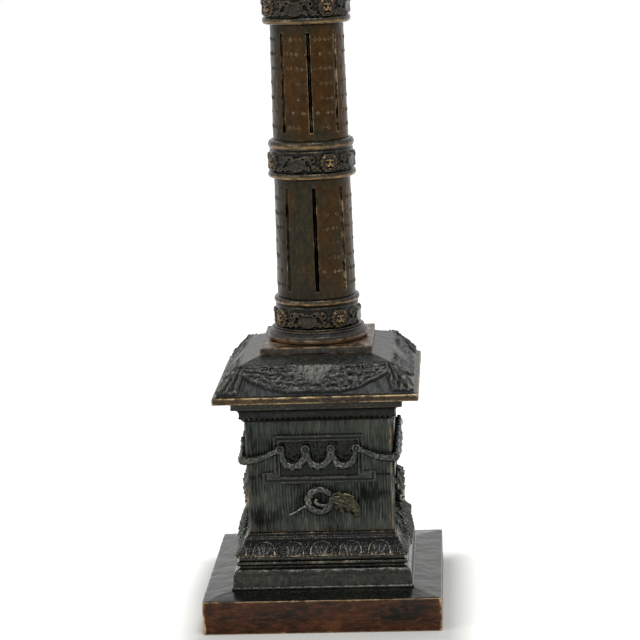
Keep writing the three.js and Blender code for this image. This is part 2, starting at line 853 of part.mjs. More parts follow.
function bobeche() {
  const bore = RADIUS.bobecheBore;
  const skirt = RADIUS.cupBore - FIT_GAP;
  const seat = LEVEL.cup;
  const r = RADIUS.bobeche;
  return lathe(
    closed([
      [bore, seat - 9],
      [skirt, seat - 9],
      [skirt, seat],
      [r - 5, seat],
      [r - 1, seat + 1.9],
      ...arc(r - 0.4, seat + 3, 0.9, -70, 110, 3),
      [r - 5.4, seat + 1.7],
      [bore + 2.4, seat + 1.6],
      [bore + 1.2, seat + 2.6],
      [bore, seat + 2.6],
    ]),
  );
}

// Tie rod and what it pulls on

const ROD = { low: 2.6, high: 418 };
const WASHER = { half: 15, thick: 1.6 };
const NUT = { radius: 7.4, high: 6 };

function washerPlate() {
  const top = SLAB_CEILING;
  const plate = box(-WASHER.half, WASHER.half, -WASHER.half, WASHER.half, top - WASHER.thick, top);
  return plate.subtract(rod(RADIUS.rodHole, 0, 20));
}

function rodNut() {
  const top = SLAB_CEILING - WASHER.thick;
  return rod(NUT.radius, top - NUT.high, top, 6).subtract(rod(RADIUS.rod + FIT_GAP, 0, 20));
}

// The assembly

piece("base_slab", baseSlab(), PATINA.red);
piece("plinth_course", plinthCourse(), PATINA.green);
piece("bead_course", beadCourse(), PATINA.green);
piece("leaf_course", leafCourse(), PATINA.green);
piece("die", die(), PATINA.green);
piece("cornice", cornice(), PATINA.green);
piece("cap", cap(), PATINA.green);

const tabletSolid = moved(tablet(), 0, -HALF.die, 0);
const garlandSolid = moved(garland(), 0, -HALF.die, 0);
const crownSolid = moved(crown(), 0, -HALF.die, 0);
const trophySolid = sideTrophy();

for (const [side, angle] of Object.entries({ front: 0, right: 90, back: 180, left: 270 })) {
  piece(`${side}_tablet`, turned(tabletSolid, angle), PATINA.green);
  piece(`${side}_garland`, turned(garlandSolid, angle), PATINA.green);
  if (side === "front" || side === "back") piece(`${side}_crown`, turned(crownSolid, angle), PATINA.green);
  else piece(`${side}_trophy`, turned(trophySolid, angle), PATINA.green);
}

const column = new THREE.Group();
column.rotation.z = COLUMN_TURN;
pieces.add(column);

piece("column_plinth", columnPlinth(), PATINA.brown);
piece("column_torus", columnTorus(), PATINA.brown, column);
piece("lower_collar", collar(LEVEL.columnTorus, LEVEL.lowerCollar, { upperRing: true, turn: 7 }), PATINA.green, column);
piece("lower_drum", drum(LEVEL.lowerCollar, LEVEL.lowerDrum), PATINA.brown, column);
piece(
  "middle_collar",
  collar(LEVEL.lowerDrum, LEVEL.middleCollar, { lowerRing: true, upperRing: true, turn: 0 }),
  PATINA.green,
  column,
);
piece("middle_drum", drum(LEVEL.middleCollar, LEVEL.middleDrum), PATINA.brown, column);
piece(
  "upper_collar",
  collar(LEVEL.middleDrum, LEVEL.upperCollar, { lowerRing: true, upperRing: true, turn: 5 }),
  PATINA.green,
  column,
);
piece("upper_drum", drum(LEVEL.upperCollar, LEVEL.upperDrum), PATINA.brown, column);
piece("neck_ring", neckRing(), PATINA.brown, column);

piece("capital", capital(), PATINA.green);
piece("abacus", abacus(), PATINA.brown);
piece("drip_pan", dripPan(), PATINA.brown);
piece("candle_cup", candleCup(), PATINA.brown);
piece("bobeche", bobeche(), PATINA.brown);
piece("tie_rod", rod(RADIUS.rod, ROD.low, ROD.high), PATINA.steel);
piece("washer_plate", washerPlate(), PATINA.steel);
piece("rod_nut", rodNut(), PATINA.steel);

export default pieces;
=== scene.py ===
"""Column candlestick in patinated bronze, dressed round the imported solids. Blender 4.5, metres, +Z up, front to -Y.

A square hollow pedestal with garlanded faces carries a banded round column, a leaf capital, a drip pan and a candle
cup with a loose bobeche. Each piece is modelled in millimetres and scaled down once it is whole.
"""

import math

import bmesh
import bpy
from mathutils import Matrix, Vector, noise


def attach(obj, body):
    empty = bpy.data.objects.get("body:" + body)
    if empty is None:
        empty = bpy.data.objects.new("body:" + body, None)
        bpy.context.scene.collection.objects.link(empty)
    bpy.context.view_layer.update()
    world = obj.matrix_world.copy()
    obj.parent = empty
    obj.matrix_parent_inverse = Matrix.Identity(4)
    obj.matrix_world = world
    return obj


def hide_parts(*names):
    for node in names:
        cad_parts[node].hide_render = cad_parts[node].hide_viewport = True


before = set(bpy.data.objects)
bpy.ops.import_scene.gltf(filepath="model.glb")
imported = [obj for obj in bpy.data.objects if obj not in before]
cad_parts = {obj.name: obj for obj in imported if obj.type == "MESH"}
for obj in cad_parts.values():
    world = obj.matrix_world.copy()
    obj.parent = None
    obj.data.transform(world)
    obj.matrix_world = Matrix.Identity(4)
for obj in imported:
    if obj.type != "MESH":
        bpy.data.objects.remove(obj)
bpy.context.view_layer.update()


# Camera, ground and light: the photographer looked a little down at the front face, from slightly to its right,
# with a long lens tipped by two degrees. The ground is white paper under plain soft light.

MM = 0.001
EYE = Vector((74.69, -1173.25, 384.43)) * MM
TURN, DIP, TIP = 3.5905, 11.3773, -2.2246
LENS = 131.37

eye_data = bpy.data.cameras.new("camera")
eye_data.lens = LENS
eye_data.sensor_width = 36
eye_data.clip_end = 30
eye = bpy.data.objects.new("camera", eye_data)
eye.matrix_world = (
    Matrix.Translation(EYE)
    @ Matrix.Rotation(math.radians(TURN), 4, "Z")
    @ Matrix.Rotation(math.radians(90 - DIP), 4, "X")
    @ Matrix.Rotation(math.radians(TIP), 4, "Z")
)
bpy.context.collection.objects.link(eye)
bpy.context.scene.camera = eye
bpy.context.scene.view_settings.view_transform = "Standard"

# The slab's painted shadow on the paper: a rectangle in metres, and how wide its soft edge is
SHADE_MIDDLE, SHADE_HALF, SHADE_WIDE = (0.0015, -0.006, 0), (0.0615, 0.066, 0), 0.022
SKY_LIGHT = 0.8


def node(tree, kind, *sources, **settings):
    """Adds a node to a tree, links sources to its first sockets in turn, and sets its properties and sockets."""
    made = tree.nodes.new("ShaderNode" + kind)
    for socket, source in zip(made.inputs, sources):
        tree.links.new(source, socket)
    for name, value in settings.items():
        if hasattr(made, name):
            setattr(made, name, value)
        else:
            made.inputs[name.replace("_", " ")].default_value = value
    return made


def blank_tree(owner):
    """The node tree of a material or a world, emptied."""
    owner.use_nodes = True
    owner.node_tree.nodes.clear()
    return owner.node_tree


def seen(tree):
    """1 where the camera or a mirror looks, and 0 for the light that falls on things."""
    path = node(tree, "LightPath")
    return node(
        tree, "Math", path.outputs["Is Camera Ray"], path.outputs["Is Glossy Ray"], operation="MAXIMUM"
    ).outputs[0]


paper = bpy.data.materials.new("white_paper")
sheet = blank_tree(paper)
away = node(sheet, "TexCoord").outputs["Object"]
for operation, other in (
    ("SUBTRACT", SHADE_MIDDLE), ("ABSOLUTE", SHADE_MIDDLE), ("SUBTRACT", SHADE_HALF), ("MAXIMUM", (0, 0, 0)),
    ("LENGTH", (0, 0, 0)),
):
    step = node(sheet, "VectorMath", away, operation=operation)
    step.inputs[1].default_value = other
    away = step.outputs["Value" if operation == "LENGTH" else "Vector"]
# The paper's white glow fades out over that rectangle, so its grey shows there as a painted shadow on top of the real
# one
whiter = node(sheet, "MapRange", away, From_Max=SHADE_WIDE, To_Min=0, To_Max=0.75)
amount = node(sheet, "Math", seen(sheet), whiter.outputs["Result"], operation="MULTIPLY")
glow = node(sheet, "Emission")
sheet.links.new(amount.outputs[0], glow.inputs["Strength"])
matt = node(sheet, "BsdfDiffuse", Color=(0.5, 0.5, 0.48, 1))
whole = node(sheet, "AddShader", matt.outputs[0], glow.outputs[0])
node(sheet, "OutputMaterial", whole.outputs[0])

ground = bmesh.new()
bmesh.ops.create_grid(ground, x_segments=1, y_segments=1, size=4)
ground_mesh = bpy.data.meshes.new("ground")
ground.to_mesh(ground_mesh)
ground.free()
ground_mesh.materials.append(paper)
ground_object = bpy.data.objects.new("ground", ground_mesh)
bpy.context.collection.objects.link(ground_object)

world = bpy.data.worlds.new("studio")
bpy.context.scene.world = world
studio = blank_tree(world)
skies = [node(studio, "Background", Color=(1, 1, 1, 1), Strength=strength).outputs[0] for strength in (SKY_LIGHT, 1)]
node(studio, "OutputWorld", node(studio, "MixShader", seen(studio), *skies).outputs[0])


def soft_box(name, place, aim, width, power):
    """A square lamp that looks at a point."""
    lamp = bpy.data.lights.new(name, "AREA")
    lamp.size = width
    lamp.energy = power
    lamp_object = bpy.data.objects.new(name, lamp)
    lamp_object.location = place
    lamp_object.rotation_euler = (Vector(aim) - Vector(place)).to_track_quat("-Z", "Y").to_euler()
    bpy.context.collection.objects.link(lamp_object)


soft_box("overhead_light", (0.15, -0.45, 1.35), (0, 0, 0.15), 0.45, 9)
soft_box("left_light", (-0.9, -0.6, 0.75), (0, 0, 0.2), 0.3, 3)


# Base slab: a hollow casting, open below, 120 mm square. Its top falls a little from the pedestal to the edge, and
# its arrises are worn through the red-brown patina to the metal. It is sand cast, filed flat and then patinated.

PROUD, TONE = "proud", "tone"


def patina(name, dark, warm, worn, rough=0.34, wear=0.5, metal=0.75, clouds=(45, 45, 45), bias=0.5, edge=0.12,
           flecks=(650, 650, 650), bump=0.18, speck=1.0):
    """A bronze skin: two patina colours in clouds, soot and painted shade in hollows, rubbed metal where it stands
    proud.

    A piece's tone, where it has one, warms its colour and lets more metal through, or below nought blackens it.
    """
    skin = bpy.data.materials.new(name)
    skin.use_nodes = True
    tree = skin.node_tree
    shader = tree.nodes["Principled BSDF"]
    place = node(tree, "TexCoord").outputs["Object"]

    def cloud(scale, detail, roughness):
        stretched = node(tree, "Mapping", place, Scale=scale).outputs["Vector"]
        return node(tree, "TexNoise", stretched, Scale=1, Detail=detail, Roughness=roughness).outputs["Fac"]

    def spread(source, low, high, to_low=0.0, to_high=1.0):
        return node(
            tree, "MapRange", source, From_Min=low, From_Max=high, To_Min=to_low, To_Max=to_high
        ).outputs["Result"]

    def joined(first, second, operation):
        return node(tree, "Math", first, second, operation=operation).outputs[0]

    def noted(layer):
        return node(tree, "Attribute", attribute_name=layer).outputs["Fac"]

    def scaled(colour, factor):
        return tuple(channel * factor for channel in colour)

    def blend(amount, first, second):
        mix = node(tree, "Mix", data_type="RGBA")
        tree.links.new(amount, mix.inputs["Factor"])
        for socket, colour in ((mix.inputs["A"], first), (mix.inputs["B"], second)):
            if isinstance(colour, tuple):
                socket.default_value = (*colour, 1)
            else:
                tree.links.new(colour, socket)
        return mix.outputs["Result"]

    height, tone = noted(PROUD), noted(TONE)
    grain = cloud((900, 900, 900), 4, 0.7)
    fleck = cloud(flecks, 5, 0.75)
    toned = joined(cloud(clouds, 6, 0.6), tone, "ADD")
    mottled = blend(spread(toned, bias - 0.12, bias + 0.14), dark, warm)
    ruddy = blend(spread(toned, bias + 0.2, bias + 0.5), mottled, scaled(warm, 1.9))
    darkened = blend(spread(fleck, 0.49, 0.34, 0, 0.85 * speck), ruddy, scaled(dark, 0.25))
    flecked = blend(spread(fleck, 0.52, 0.7, 0, 0.75 * speck), darkened, scaled(warm, 2.6))
    # Below nought, tone blackens: stains on the slab, and painted shade on other pieces
    blackened_stains_and_shade = blend(spread(tone, -0.1, -0.5), flecked, scaled(dark, 0.3))
    # Hollows are darkened nearly to black, as soot and as painted shade
    sooted_and_shaded = blend(spread(height, -0.02, -0.14), blackened_stains_and_shade, scaled(dark, 0.12))
    patchy = spread(joined(cloud((150, 150, 150), 5, 0.7), tone, "ADD"), 0.64 - wear * 0.3, 0.74 - wear * 0.3, 0.1)
    bared = joined(spread(height, edge * 0.4, edge * 1.6), spread(tone, 0.45, 0.7), "MAXIMUM")
    rubbed = joined(bared, patchy, "MULTIPLY")
    relief = node(tree, "Bump", Strength=0.6, Distance=bump * MM)
    tree.links.new(grain, relief.inputs["Height"])
    for socket, source in (
        ("Base Color", blend(rubbed, sooted_and_shaded, worn)),
        ("Roughness", spread(fleck, 0.3, 0.7, rough - 0.08, rough + 0.12)),
        ("Normal", relief.outputs["Normal"]),
    ):
        tree.links.new(source, shader.inputs[socket])
    shader.inputs["Metallic"].default_value = metal
    return skin


def hollow(bore, *outline):
    """Closes the outline of a casting, going up, with a plain bore."""
    low, high = (bore, outline[0][1]), (bore, outline[-1][1])
    return [low, *outline, high, low]


def eased(profile, radius):
    """A profile of (radius, height) points with its corners rounded, as casting and wear leave them."""
    soft = [profile[0]]
    for before, here, after in zip(profile, profile[1:], profile[2:]):
        corner = Vector(here)
        back, on = Vector(before) - corner, Vector(after) - corner
        back.length = min(radius, back.length * 0.45)
        on.length = min(radius, on.length * 0.45)
        for t in (0, 0.5, 1):
            soft.append(tuple(corner + back * (1 - t) ** 2 + on * t * t))
    return soft + [profile[-1]]


JOINT_START, JOINT_LIP = 0.6, 1.8


def dense(profile, step, bore=0):
    """The same profile with points added at most a step apart, but none in a bore or deep in a flat joint."""
    points = [profile[0]]
    for first, second in zip(profile, profile[1:]):
        near, far = sorted((first[0], second[0]))
        parts = 1 if far <= bore + 1e-3 else max(1, math.ceil(math.dist(first, second) / step))
        in_joint = abs(first[1] - second[1]) < 1e-3 and near <= bore + JOINT_START
        for part in range(1, parts + 1):
            point = tuple(Vector(first).lerp(Vector(second), part / parts))
            if part == parts or not in_joint or far - point[0] < JOINT_LIP:
                points.append(point)
    return points


def spun(profile, wedges, cuts=0, start=(1, 0)):
    """Turns a profile about the column's axis in wedges, each then cut further; start is the way that it points."""
    bm = bmesh.new()
    verts = [bm.verts.new((r * start[0], r * start[1], z)) for r, z in profile]
    edges = [bm.edges.new(pair) for pair in zip(verts, verts[1:])]
    full = {"cent": (0, 0, 0), "axis": (0, 0, 1), "angle": math.tau, "steps": wedges, "use_merge": True}
    bmesh.ops.spin(bm, geom=verts + edges, **full)
    bmesh.ops.remove_doubles(bm, verts=bm.verts, dist=1e-4)
    if cuts:
        flat = [edge for edge in bm.edges if abs(edge.verts[0].co.z - edge.verts[1].co.z) < 1e-5]
        rings = [edge for edge in flat if abs(edge.verts[0].co.xy.length - edge.verts[1].co.xy.length) < 1e-4]
        bmesh.ops.subdivide_edges(bm, edges=rings, cuts=cuts)
        wedge = math.tau / wedges
        for vert in bm.verts:
            angle = math.atan2(vert.co.y, vert.co.x) % wedge
            vert.co.xy *= math.cos(angle - wedge / 2) / math.cos(wedge / 2)
    return bm


def squared(profile, columns, crowd=0.0):
    """A square course from a profile of (half width, height), each side cut into columns that crowd to its ends."""
    bm = spun(profile, 4, start=(1, -1))
    across = []
    for edge in bm.edges:
        run = edge.verts[0].co - edge.verts[1].co
        if abs(run.z) < 0.01 and min(abs(run.x), abs(run.y)) < 0.01:
            across.append(edge)
    bmesh.ops.subdivide_edges(bm, edges=across, cuts=columns - 1)
    for vert in bm.verts:
        half = half_width(vert.co)
        if crowd and half:
            lesser = 0 if abs(vert.co.x) < abs(vert.co.y) else 1
            share = vert.co[lesser] / half
            vert.co[lesser] = half * share * (1 + crowd * (1 - share * share))
    return bm


def half_width(co):
    """How far the side that a point of a square piece lies on is from the axis."""
    return max(abs(co.x), abs(co.y))


def polar(co):
    """A point's distance from the column's axis, and its azimuth, which is nought at the front."""
    return math.hypot(co.x, co.y), math.atan2(co.x, -co.y)


def round_corners(bm, radius, low, high):
    """Rounds the upright arrises of a square course between two heights."""
    for vert in bm.verts:
        half = half_width(vert.co)
        over = Vector((abs(vert.co.x) - half + radius, abs(vert.co.y) - half + radius))
        if low <= vert.co.z <= high and min(over) > 0:
            over *= 1 - radius / over.length
            vert.co.x -= math.copysign(over.x, vert.co.x)
            vert.co.y -= math.copysign(over.y, vert.co.y)


def along_side(co):
    """How far a point lies along its side of a square piece, from the middle."""
    return co.x if abs(co.y) >= abs(co.x) else co.y


def push_out(vert, depth, up=0.0):
    """Moves a point of a square course out of its side, or out of both sides at a corner."""
    x, y, _ = vert.co
    slack = 1e-4
    if abs(x) >= abs(y) - slack:
        vert.co.x += math.copysign(depth, x)
    if abs(y) >= abs(x) - slack:
        vert.co.y += math.copysign(depth, y)
    vert.co.z += up


def turned(bm, angle, axis="Z"):
    """Turns a mesh about an axis through the origin, and hands it back."""
    bmesh.ops.rotate(bm, verts=bm.verts, matrix=Matrix.Rotation(angle, 3, axis))
    return bm


def swell(distance, width):
    """1 at no distance, falling away on either side over that width."""
    return math.exp(-((distance / width) ** 2))


def lumps(co, octaves=3):
    """Soft lumps over one another, from about -1 to 1."""
    return noise.fractal(co, 0.6, 2.0, octaves)


def smooth(low, high, value):
    """0 below low, 1 above high, and an easy curve between."""
    t = max(0.0, min(1.0, (value - low) / (high - low)))
    return t * t * (3 - 2 * t)


def tint(bm, tone):
    """Notes the tone that a function gives for each point."""
    layer = bm.verts.layers.float.new(TONE)
    for vert in bm.verts:
        vert[layer] = tone(vert.co)


def weather(bm, depth, size):
    """Moves every point a little in or out, in soft lumps of that size."""
    bm.normal_update()
    moves = [v.normal * lumps(v.co / size) * depth for v in bm.verts]
    for vert, move in zip(bm.verts, moves):
        vert.co += move


def note_proud(bm, reach):
    """Notes how far each point stands out of what lies within its reach, in mm, for wear, soot and painted shade."""
    pitch = sorted(edge.calc_length() for edge in bm.edges)[len(bm.edges) // 2]
    level = bm.verts.layers.float.new(PROUD)
    calm = bm.copy()
    axes = {"use_axis_x": True, "use_axis_y": True, "use_axis_z": True}
    for _ in range(max(1, min(50, round((2 * reach / pitch) ** 2)))):
        bmesh.ops.smooth_vert(calm, verts=calm.verts, factor=0.5, **axes)
    bm.normal_update()
    for vert, lowered in zip(bm.verts, calm.verts):
        vert[level] = (vert.co - lowered.co).dot(vert.normal)
    calm.free()


def cast(bm, solid, skin, slot, body="candlestick", crease=50, reach=0.8):
    """Turns a mesh in millimetres into a piece that rides on its body and stands for its solid."""
    name = f"{solid}_{slot.split('_')[-1]}"
    bmesh.ops.recalc_face_normals(bm, faces=bm.faces)
    note_proud(bm, reach)
    bmesh.ops.scale(bm, vec=(MM, MM, MM), verts=bm.verts)
    mesh = bpy.data.meshes.new(name)
    bm.to_mesh(mesh)
    bm.free()
    mesh.shade_smooth()
    mesh.set_sharp_from_angle(angle=math.radians(crease))
    mesh.materials.append(skin)
    made = bpy.data.objects.new(name, mesh)
    bpy.context.collection.objects.link(made)
    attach(made, body)
    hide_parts(solid)
    return made


red_brown = patina(
    "red_brown_patina", (0.014, 0.01, 0.007), (0.052, 0.018, 0.007), (0.42, 0.29, 0.16), clouds=(30, 30, 60), bias=0.46,
    wear=1, flecks=(150, 150, 600), edge=0.07, bump=0.05
)
green_black = patina(
    "green_black_patina", (0.012, 0.014, 0.012), (0.026, 0.026, 0.02), (0.2, 0.17, 0.12), rough=0.2, wear=0.3, bump=0.07
)

SLAB_HALF = 60
SLAB = [(0, 18.6), (46.2, 18.6), (SLAB_HALF, 17.2), (SLAB_HALF, 0), (55.5, 0), (55.5, 13.2), (0, 13.2)]
STAIN, STAIN_SIZE = (38, 9.5), (13, 5.5)


def slab_tone(co):
    """Ruddy along the foot, stained black near the right end of each side, and rubbed bare along every arris."""
    along = co.x * math.copysign(1, -co.y) if abs(co.y) > abs(co.x) else co.y * math.copysign(1, co.x)
    rough = lumps(co / 7, 4)
    stain = swell(along - STAIN[0], STAIN_SIZE[0]) * swell(co.z - STAIN[1], STAIN_SIZE[1])
    stain += 0.3 * swell(along + 50, 7)
    tone = 0.36 * swell(co.z - 3.5, 3) * (0.6 + rough) - 0.36 * stain * max(0, 1 + 1.8 * rough)
    arris = swell(59.5 - min(abs(co.x), abs(co.y)), 1.1) * (0.8 + 0.4 * rough)
    foot = swell(co.z, 0.8) * max(0, 0.55 + 1.5 * noise.noise(co / 3))
    return tone + 0.72 * arris + 0.6 * foot


slab = squared(dense(eased(SLAB, 0.5), 1.0), 110, 0.35)
round_corners(slab, 1.2, 0, 18.6)
weather(slab, 0.16, 9)
for vert in slab.verts:
    vert.co.z = max(vert.co.z, 0)
    vert.co.xy = [max(-SLAB_HALF, min(SLAB_HALF, part)) for part in vert.co.xy]
tint(slab, slab_tone)
slab.normal_update()
for face in slab.faces:
    face.material_index = int(face.normal.z > 0.8)
slab_piece = cast(slab, "base_slab", red_brown, "slab_bronze", reach=0.7)
slab_piece.data.materials.append(green_black)


# Plinth course and bead course: two plain mouldings that step in from the slab to the leaf moulding. They are cast
# hollow and near black, rubbed bright along their lips.

HOLLOW = 31.5
PLINTH = hollow(
    HOLLOW, (46.2, 18.6), (46.2, 19.5), (45.5, 20), (45.1, 25.6), (44.6, 27), (43.6, 28.3), (42, 29.1), (41.8, 30)
)
plinth = squared(dense(eased(PLINTH, 0.3), 0.7, HOLLOW), 100, 0.3)
round_corners(plinth, 0.8, 18.6, 29.5)
weather(plinth, 0.14, 5)
cast(plinth, "plinth_course", green_black, "pedestal_bronze")

BEAD = hollow(
    HOLLOW, (41.6, 30), (42.8, 30.5), (43.4, 31.3), (43.2, 32.2), (42.2, 32.6), (41.8, 33), (41.8, 34.6)
)
bead = squared(dense(eased(BEAD, 0.25), 0.45, HOLLOW), 160, 0.2)
for vert in bead.verts:
    if vert.co.z > 33.2 and half_width(vert.co) > 41:
        push_out(vert, 0.5 * noise.noise((along_side(vert.co) * 0.7, vert.co.z * 1.5, 6)))
weather(bead, 0.1, 6)
cast(bead, "bead_course", green_black, "pedestal_bronze")


# Leaf moulding: a cyma with five broad ribbed leaves on a side and one wrapped round each corner, a dart between
# each two, and a scalloped lip that is rubbed brown. It is cast in one ring, with two fillets above it.

LEAF_PITCH, LEAF_HALF = 14.6, 6.5
LEAF_FOOT, LEAF_TIP = 36.6, 42.4
LEAF_COURSE = hollow(
    HOLLOW, (42.8, 34.6), (43.7, 35.1), (43.7, 36), (42.4, 37.4), (40.2, 39.6), (38.9, 41.6), (38.4, 43.4),
    (38.3, 43.6), (38.3, 44.5), (37.4, 44.7), (37.4, 45.8)
)


def leaf_relief(along, height):
    """How far the leaf moulding stands out of its cyma."""
    up = height - LEAF_FOOT
    t = up / (LEAF_TIP - LEAF_FOOT)
    from_leaf = abs((along / LEAF_PITCH + 0.5) % 1 - 0.5) * LEAF_PITCH
    if t > 1.15:
        return 0.3 * abs(math.cos(along * 2)) if height < 44.4 else 0.0
    if t < -0.05:
        return 0.22 * math.cos(along * 3.1) - 0.15 + 0.25 * noise.noise((along * 0.4, height, 2))
    from_dart = LEAF_PITCH / 2 - from_leaf
    inset = 1 - math.hypot(from_leaf / LEAF_HALF, max(0, t) ** 1.3)
    inside = smooth(0, 0.12, inset)
    rim = inside * (1 - smooth(0.16, 0.34, inset))
    ribs = math.cos(11 * math.atan2(from_leaf, up + 2.2))
    stem = swell(from_dart, 0.4) * smooth(0, 0.3, t) * (1 - smooth(0.95, 1.1, t))
    drop = swell(from_dart, 0.75) * swell(t - 0.2, 0.16)
    return 0.45 * inside + 0.95 * rim + 0.42 * ribs * smooth(0.2, 0.4, inset) + 0.7 * stem + 1.3 * drop - 0.55


def leaf_tone(co):
    """The lip is rubbed brown, and the ground between the leaves is darkened as soot and painted shade."""
    lip = 1 - smooth(35.3, 36.9, co.z + noise.noise(co / 3))
    ground = 1 - smooth(-0.5, 0.2, leaf_relief(along_side(co), co.z))
    return 0.3 * noise.noise(co / 6) - 0.08 + 0.6 * lip - 0.5 * ground * (1 - lip)


leaves = squared(dense(eased(LEAF_COURSE, 0.25), 0.4, HOLLOW), 230)
for vert in leaves.verts:
    if half_width(vert.co) > 37.6:
        push_out(vert, leaf_relief(along_side(vert.co), vert.co.z))
weather(leaves, 0.12, 2)
tint(leaves, leaf_tone)
# The rubbed grey rims of the leaves are wear, and also a painted highlight where they catch the light
leaf_skin = patina(
    "leaf_patina", (0.007, 0.009, 0.008), (0.022, 0.018, 0.012), (0.3, 0.25, 0.18), rough=0.17, wear=0.6, edge=0.3
)
cast(leaves, "leaf_course", leaf_skin, "pedestal_bronze", crease=70)


# Die: the pedestal's tall body. Its faces are tooled in upright strokes 1.5 mm apart and scored across at the foot
# of the tablets, and its arrises are rubbed brown.

SCORE = 75.3
DIE_HALF = 36.5
DIE = hollow(HOLLOW, *((DIE_HALF, z) for z in (45.8, SCORE - 0.5, SCORE - 0.2, SCORE, SCORE + 0.2, SCORE + 0.5, 104.2)))
STROKE_PITCH = 1.5


def tooling(along, height):
    """The depth of the upright strokes and of the scored line."""
    drift = 0.9 * noise.noise((along * 0.11, height * 0.05, 3))
    stroke = abs(math.sin(math.pi * (along / STROKE_PITCH + drift))) ** 0.5
    strength = 0.65 + 1.1 * noise.noise((along * 0.06, height * 0.07, 9)) - 0.006 * along
    return 0.9 * (stroke - 1) * max(0.35, strength) - 0.35 * swell(height - SCORE, 0.22)


def die_tone(co):
    """Copper shows along the arrises, in a broad patch high on the front one at the right."""
    aside = min(abs(co.x), abs(co.y))
    patch = swell(co.z - 97, 6) if co.x > 0 > co.y else 0
    return 0.66 * swell(DIE_HALF - 0.1 - aside, 0.45 + patch) * (0.85 + 1.1 * noise.noise(co / 3))


die = squared(dense(eased(DIE, 0.5), 1.7, HOLLOW), 270)
for vert in die.verts:
    side = along_side(vert.co)
    if half_width(vert.co) > DIE_HALF - 0.1 and abs(side) < 35.8:
        push_out(vert, tooling(side, vert.co.z))
weather(die, 0.14, 8)
tint(die, die_tone)
die_skin = patina(
    "die_patina", (0.022, 0.029, 0.023), (0.038, 0.041, 0.032), (0.22, 0.115, 0.05), rough=0.38, flecks=(800, 800, 110),
    wear=0.8, edge=2.4
)
cast(die, "die", die_skin, "pedestal_bronze", crease=70)


# Cornice: small dentils under a fillet, a hollow and a flat corona. It is cast as one ring that locks the die to
# the cap.

CORNICE = hollow(
    HOLLOW, (37.4, 104.2), (37.8, 105), (39.2, 106.8), (39.2, 109), (39.9, 110.2), (41.7, 111), (42.9, 111.2),
    (42.9, 116.1)
)
DENTIL_PITCH = 2.6
cornice = squared(dense(eased(CORNICE, 0.3), 0.5, HOLLOW), 190)
for vert in cornice.verts:
    if 104.5 < vert.co.z < 107 and half_width(vert.co) > 37:
        tooth = smooth(-0.35, 0.35, math.cos(math.tau * along_side(vert.co) / DENTIL_PITCH))
        push_out(vert, 0.6 * tooth * smooth(104.5, 104.9, vert.co.z) * (1 - smooth(106.4, 107, vert.co.z)))
weather(cornice, 0.12, 6)
# The dentils and the hollow under the corona are painted darker, as shade under its overhang
tint(cornice, lambda co: -0.25 * (1 - smooth(110.5, 111.5, co.z)))
cornice_skin = patina("cornice_patina", (0.013, 0.014, 0.012), (0.027, 0.024, 0.018), (0.12, 0.1, 0.07), wear=0.35)
cast(cornice, "cornice", cornice_skin, "pedestal_bronze", crease=60)


# Tablets: an eared frame with a broad sill on each face of the die, round a sunk field. They are chased after
# casting, so their edges are crisp.

SILL_HALF, FRAME_HALF, FIELD_HALF = 28.6, 22.6, 19.6
TABLET_X = (-SILL_HALF, -FRAME_HALF, -FIELD_HALF, FIELD_HALF, FRAME_HALF, SILL_HALF)
TABLET_Z = FRAME_FOOT, FIELD_FOOT, SILL_TOP, FIELD_TOP, FRAME_TOP = 71.7, 75.3, 77.6, 93.4, 96.7
TABLET_BACK, FIELD_RISE, FRAME_RISE = -36.3, 0.7, 1.6
TABLET_CUT = 0.6


def framed_tablet():
    """A grid stood upright on the front face, its outer cells cut away and the frame raised round the field."""
    bm = bmesh.new()
    bmesh.ops.create_grid(bm, x_segments=5, y_segments=4, size=1)
    turned(bm, math.radians(90), "X")
    for vert in bm.verts:
        column, row = round((vert.co.x + 1) * 2.5), round((vert.co.z + 1) * 2)
        vert.co = (TABLET_X[column], TABLET_BACK, TABLET_Z[row])
    outside, field, frame_faces = [], [], []
    for face in bm.faces:
        middle = face.calc_center_median()
        if abs(middle.x) > FRAME_HALF and middle.z > SILL_TOP:
            outside.append(face)
        elif abs(middle.x) < FIELD_HALF and FIELD_FOOT < middle.z < FIELD_TOP:
            field.append(face)
        else:
            frame_faces.append(face)
    bmesh.ops.delete(bm, geom=outside, context="FACES")
    for faces, rise in ((field, FIELD_RISE), (frame_faces, FRAME_RISE)):
        raised = bmesh.ops.extrude_face_region(bm, geom=faces, use_keep_orig=False)
        tops = [part for part in raised["geom"] if isinstance(part, bmesh.types.BMVert)]
        bmesh.ops.translate(bm, vec=(0, -rise, 0), verts=tops)
        bmesh.ops.delete(bm, geom=faces, context="FACES_KEEP_BOUNDARY")
    rims = [edge for edge in bm.edges if edge.is_manifold and edge.calc_face_angle() > 1]
    bmesh.ops.bevel(bm, geom=rims, offset=0.35, segments=2, profile=0.5, affect="EDGES", material=-1)
    for way, first, last in (((1, 0, 0), -47, 47), ((0, 0, 1), 120, 161)):
        for step in range(first, last + 1):
            whole = bm.verts[:] + bm.edges[:] + bm.faces[:]
            bmesh.ops.bisect_plane(bm, geom=whole, plane_co=Vector(way) * step * TABLET_CUT, plane_no=way, dist=1e-4)
    for vert in bm.verts:
        x, y, z = vert.co
        if y < -37.7:
            rail = max(abs(x) - 21.1, z - 95) if z > 76.5 else max(73.4 - z, abs(x) - 27)
            vert.co.y += 0.5 * swell(rail, 0.4)
        elif y < -36.9:
            vert.co.y -= (0.35 + 0.3 * smooth(82, 85, z)) * lumps(vert.co / 1.4)
    weather(bm, 0.08, 3)
    # Everything behind the frame's face is darkened, the sunk field most in view: soot and painted shade in the recess
    tint(bm, lambda co: -0.42 * (co.y > -37.6))
    return bm


QUARTER = math.pi / 2
SIDES = {"front": 0, "right": 1, "back": 2, "left": 3}


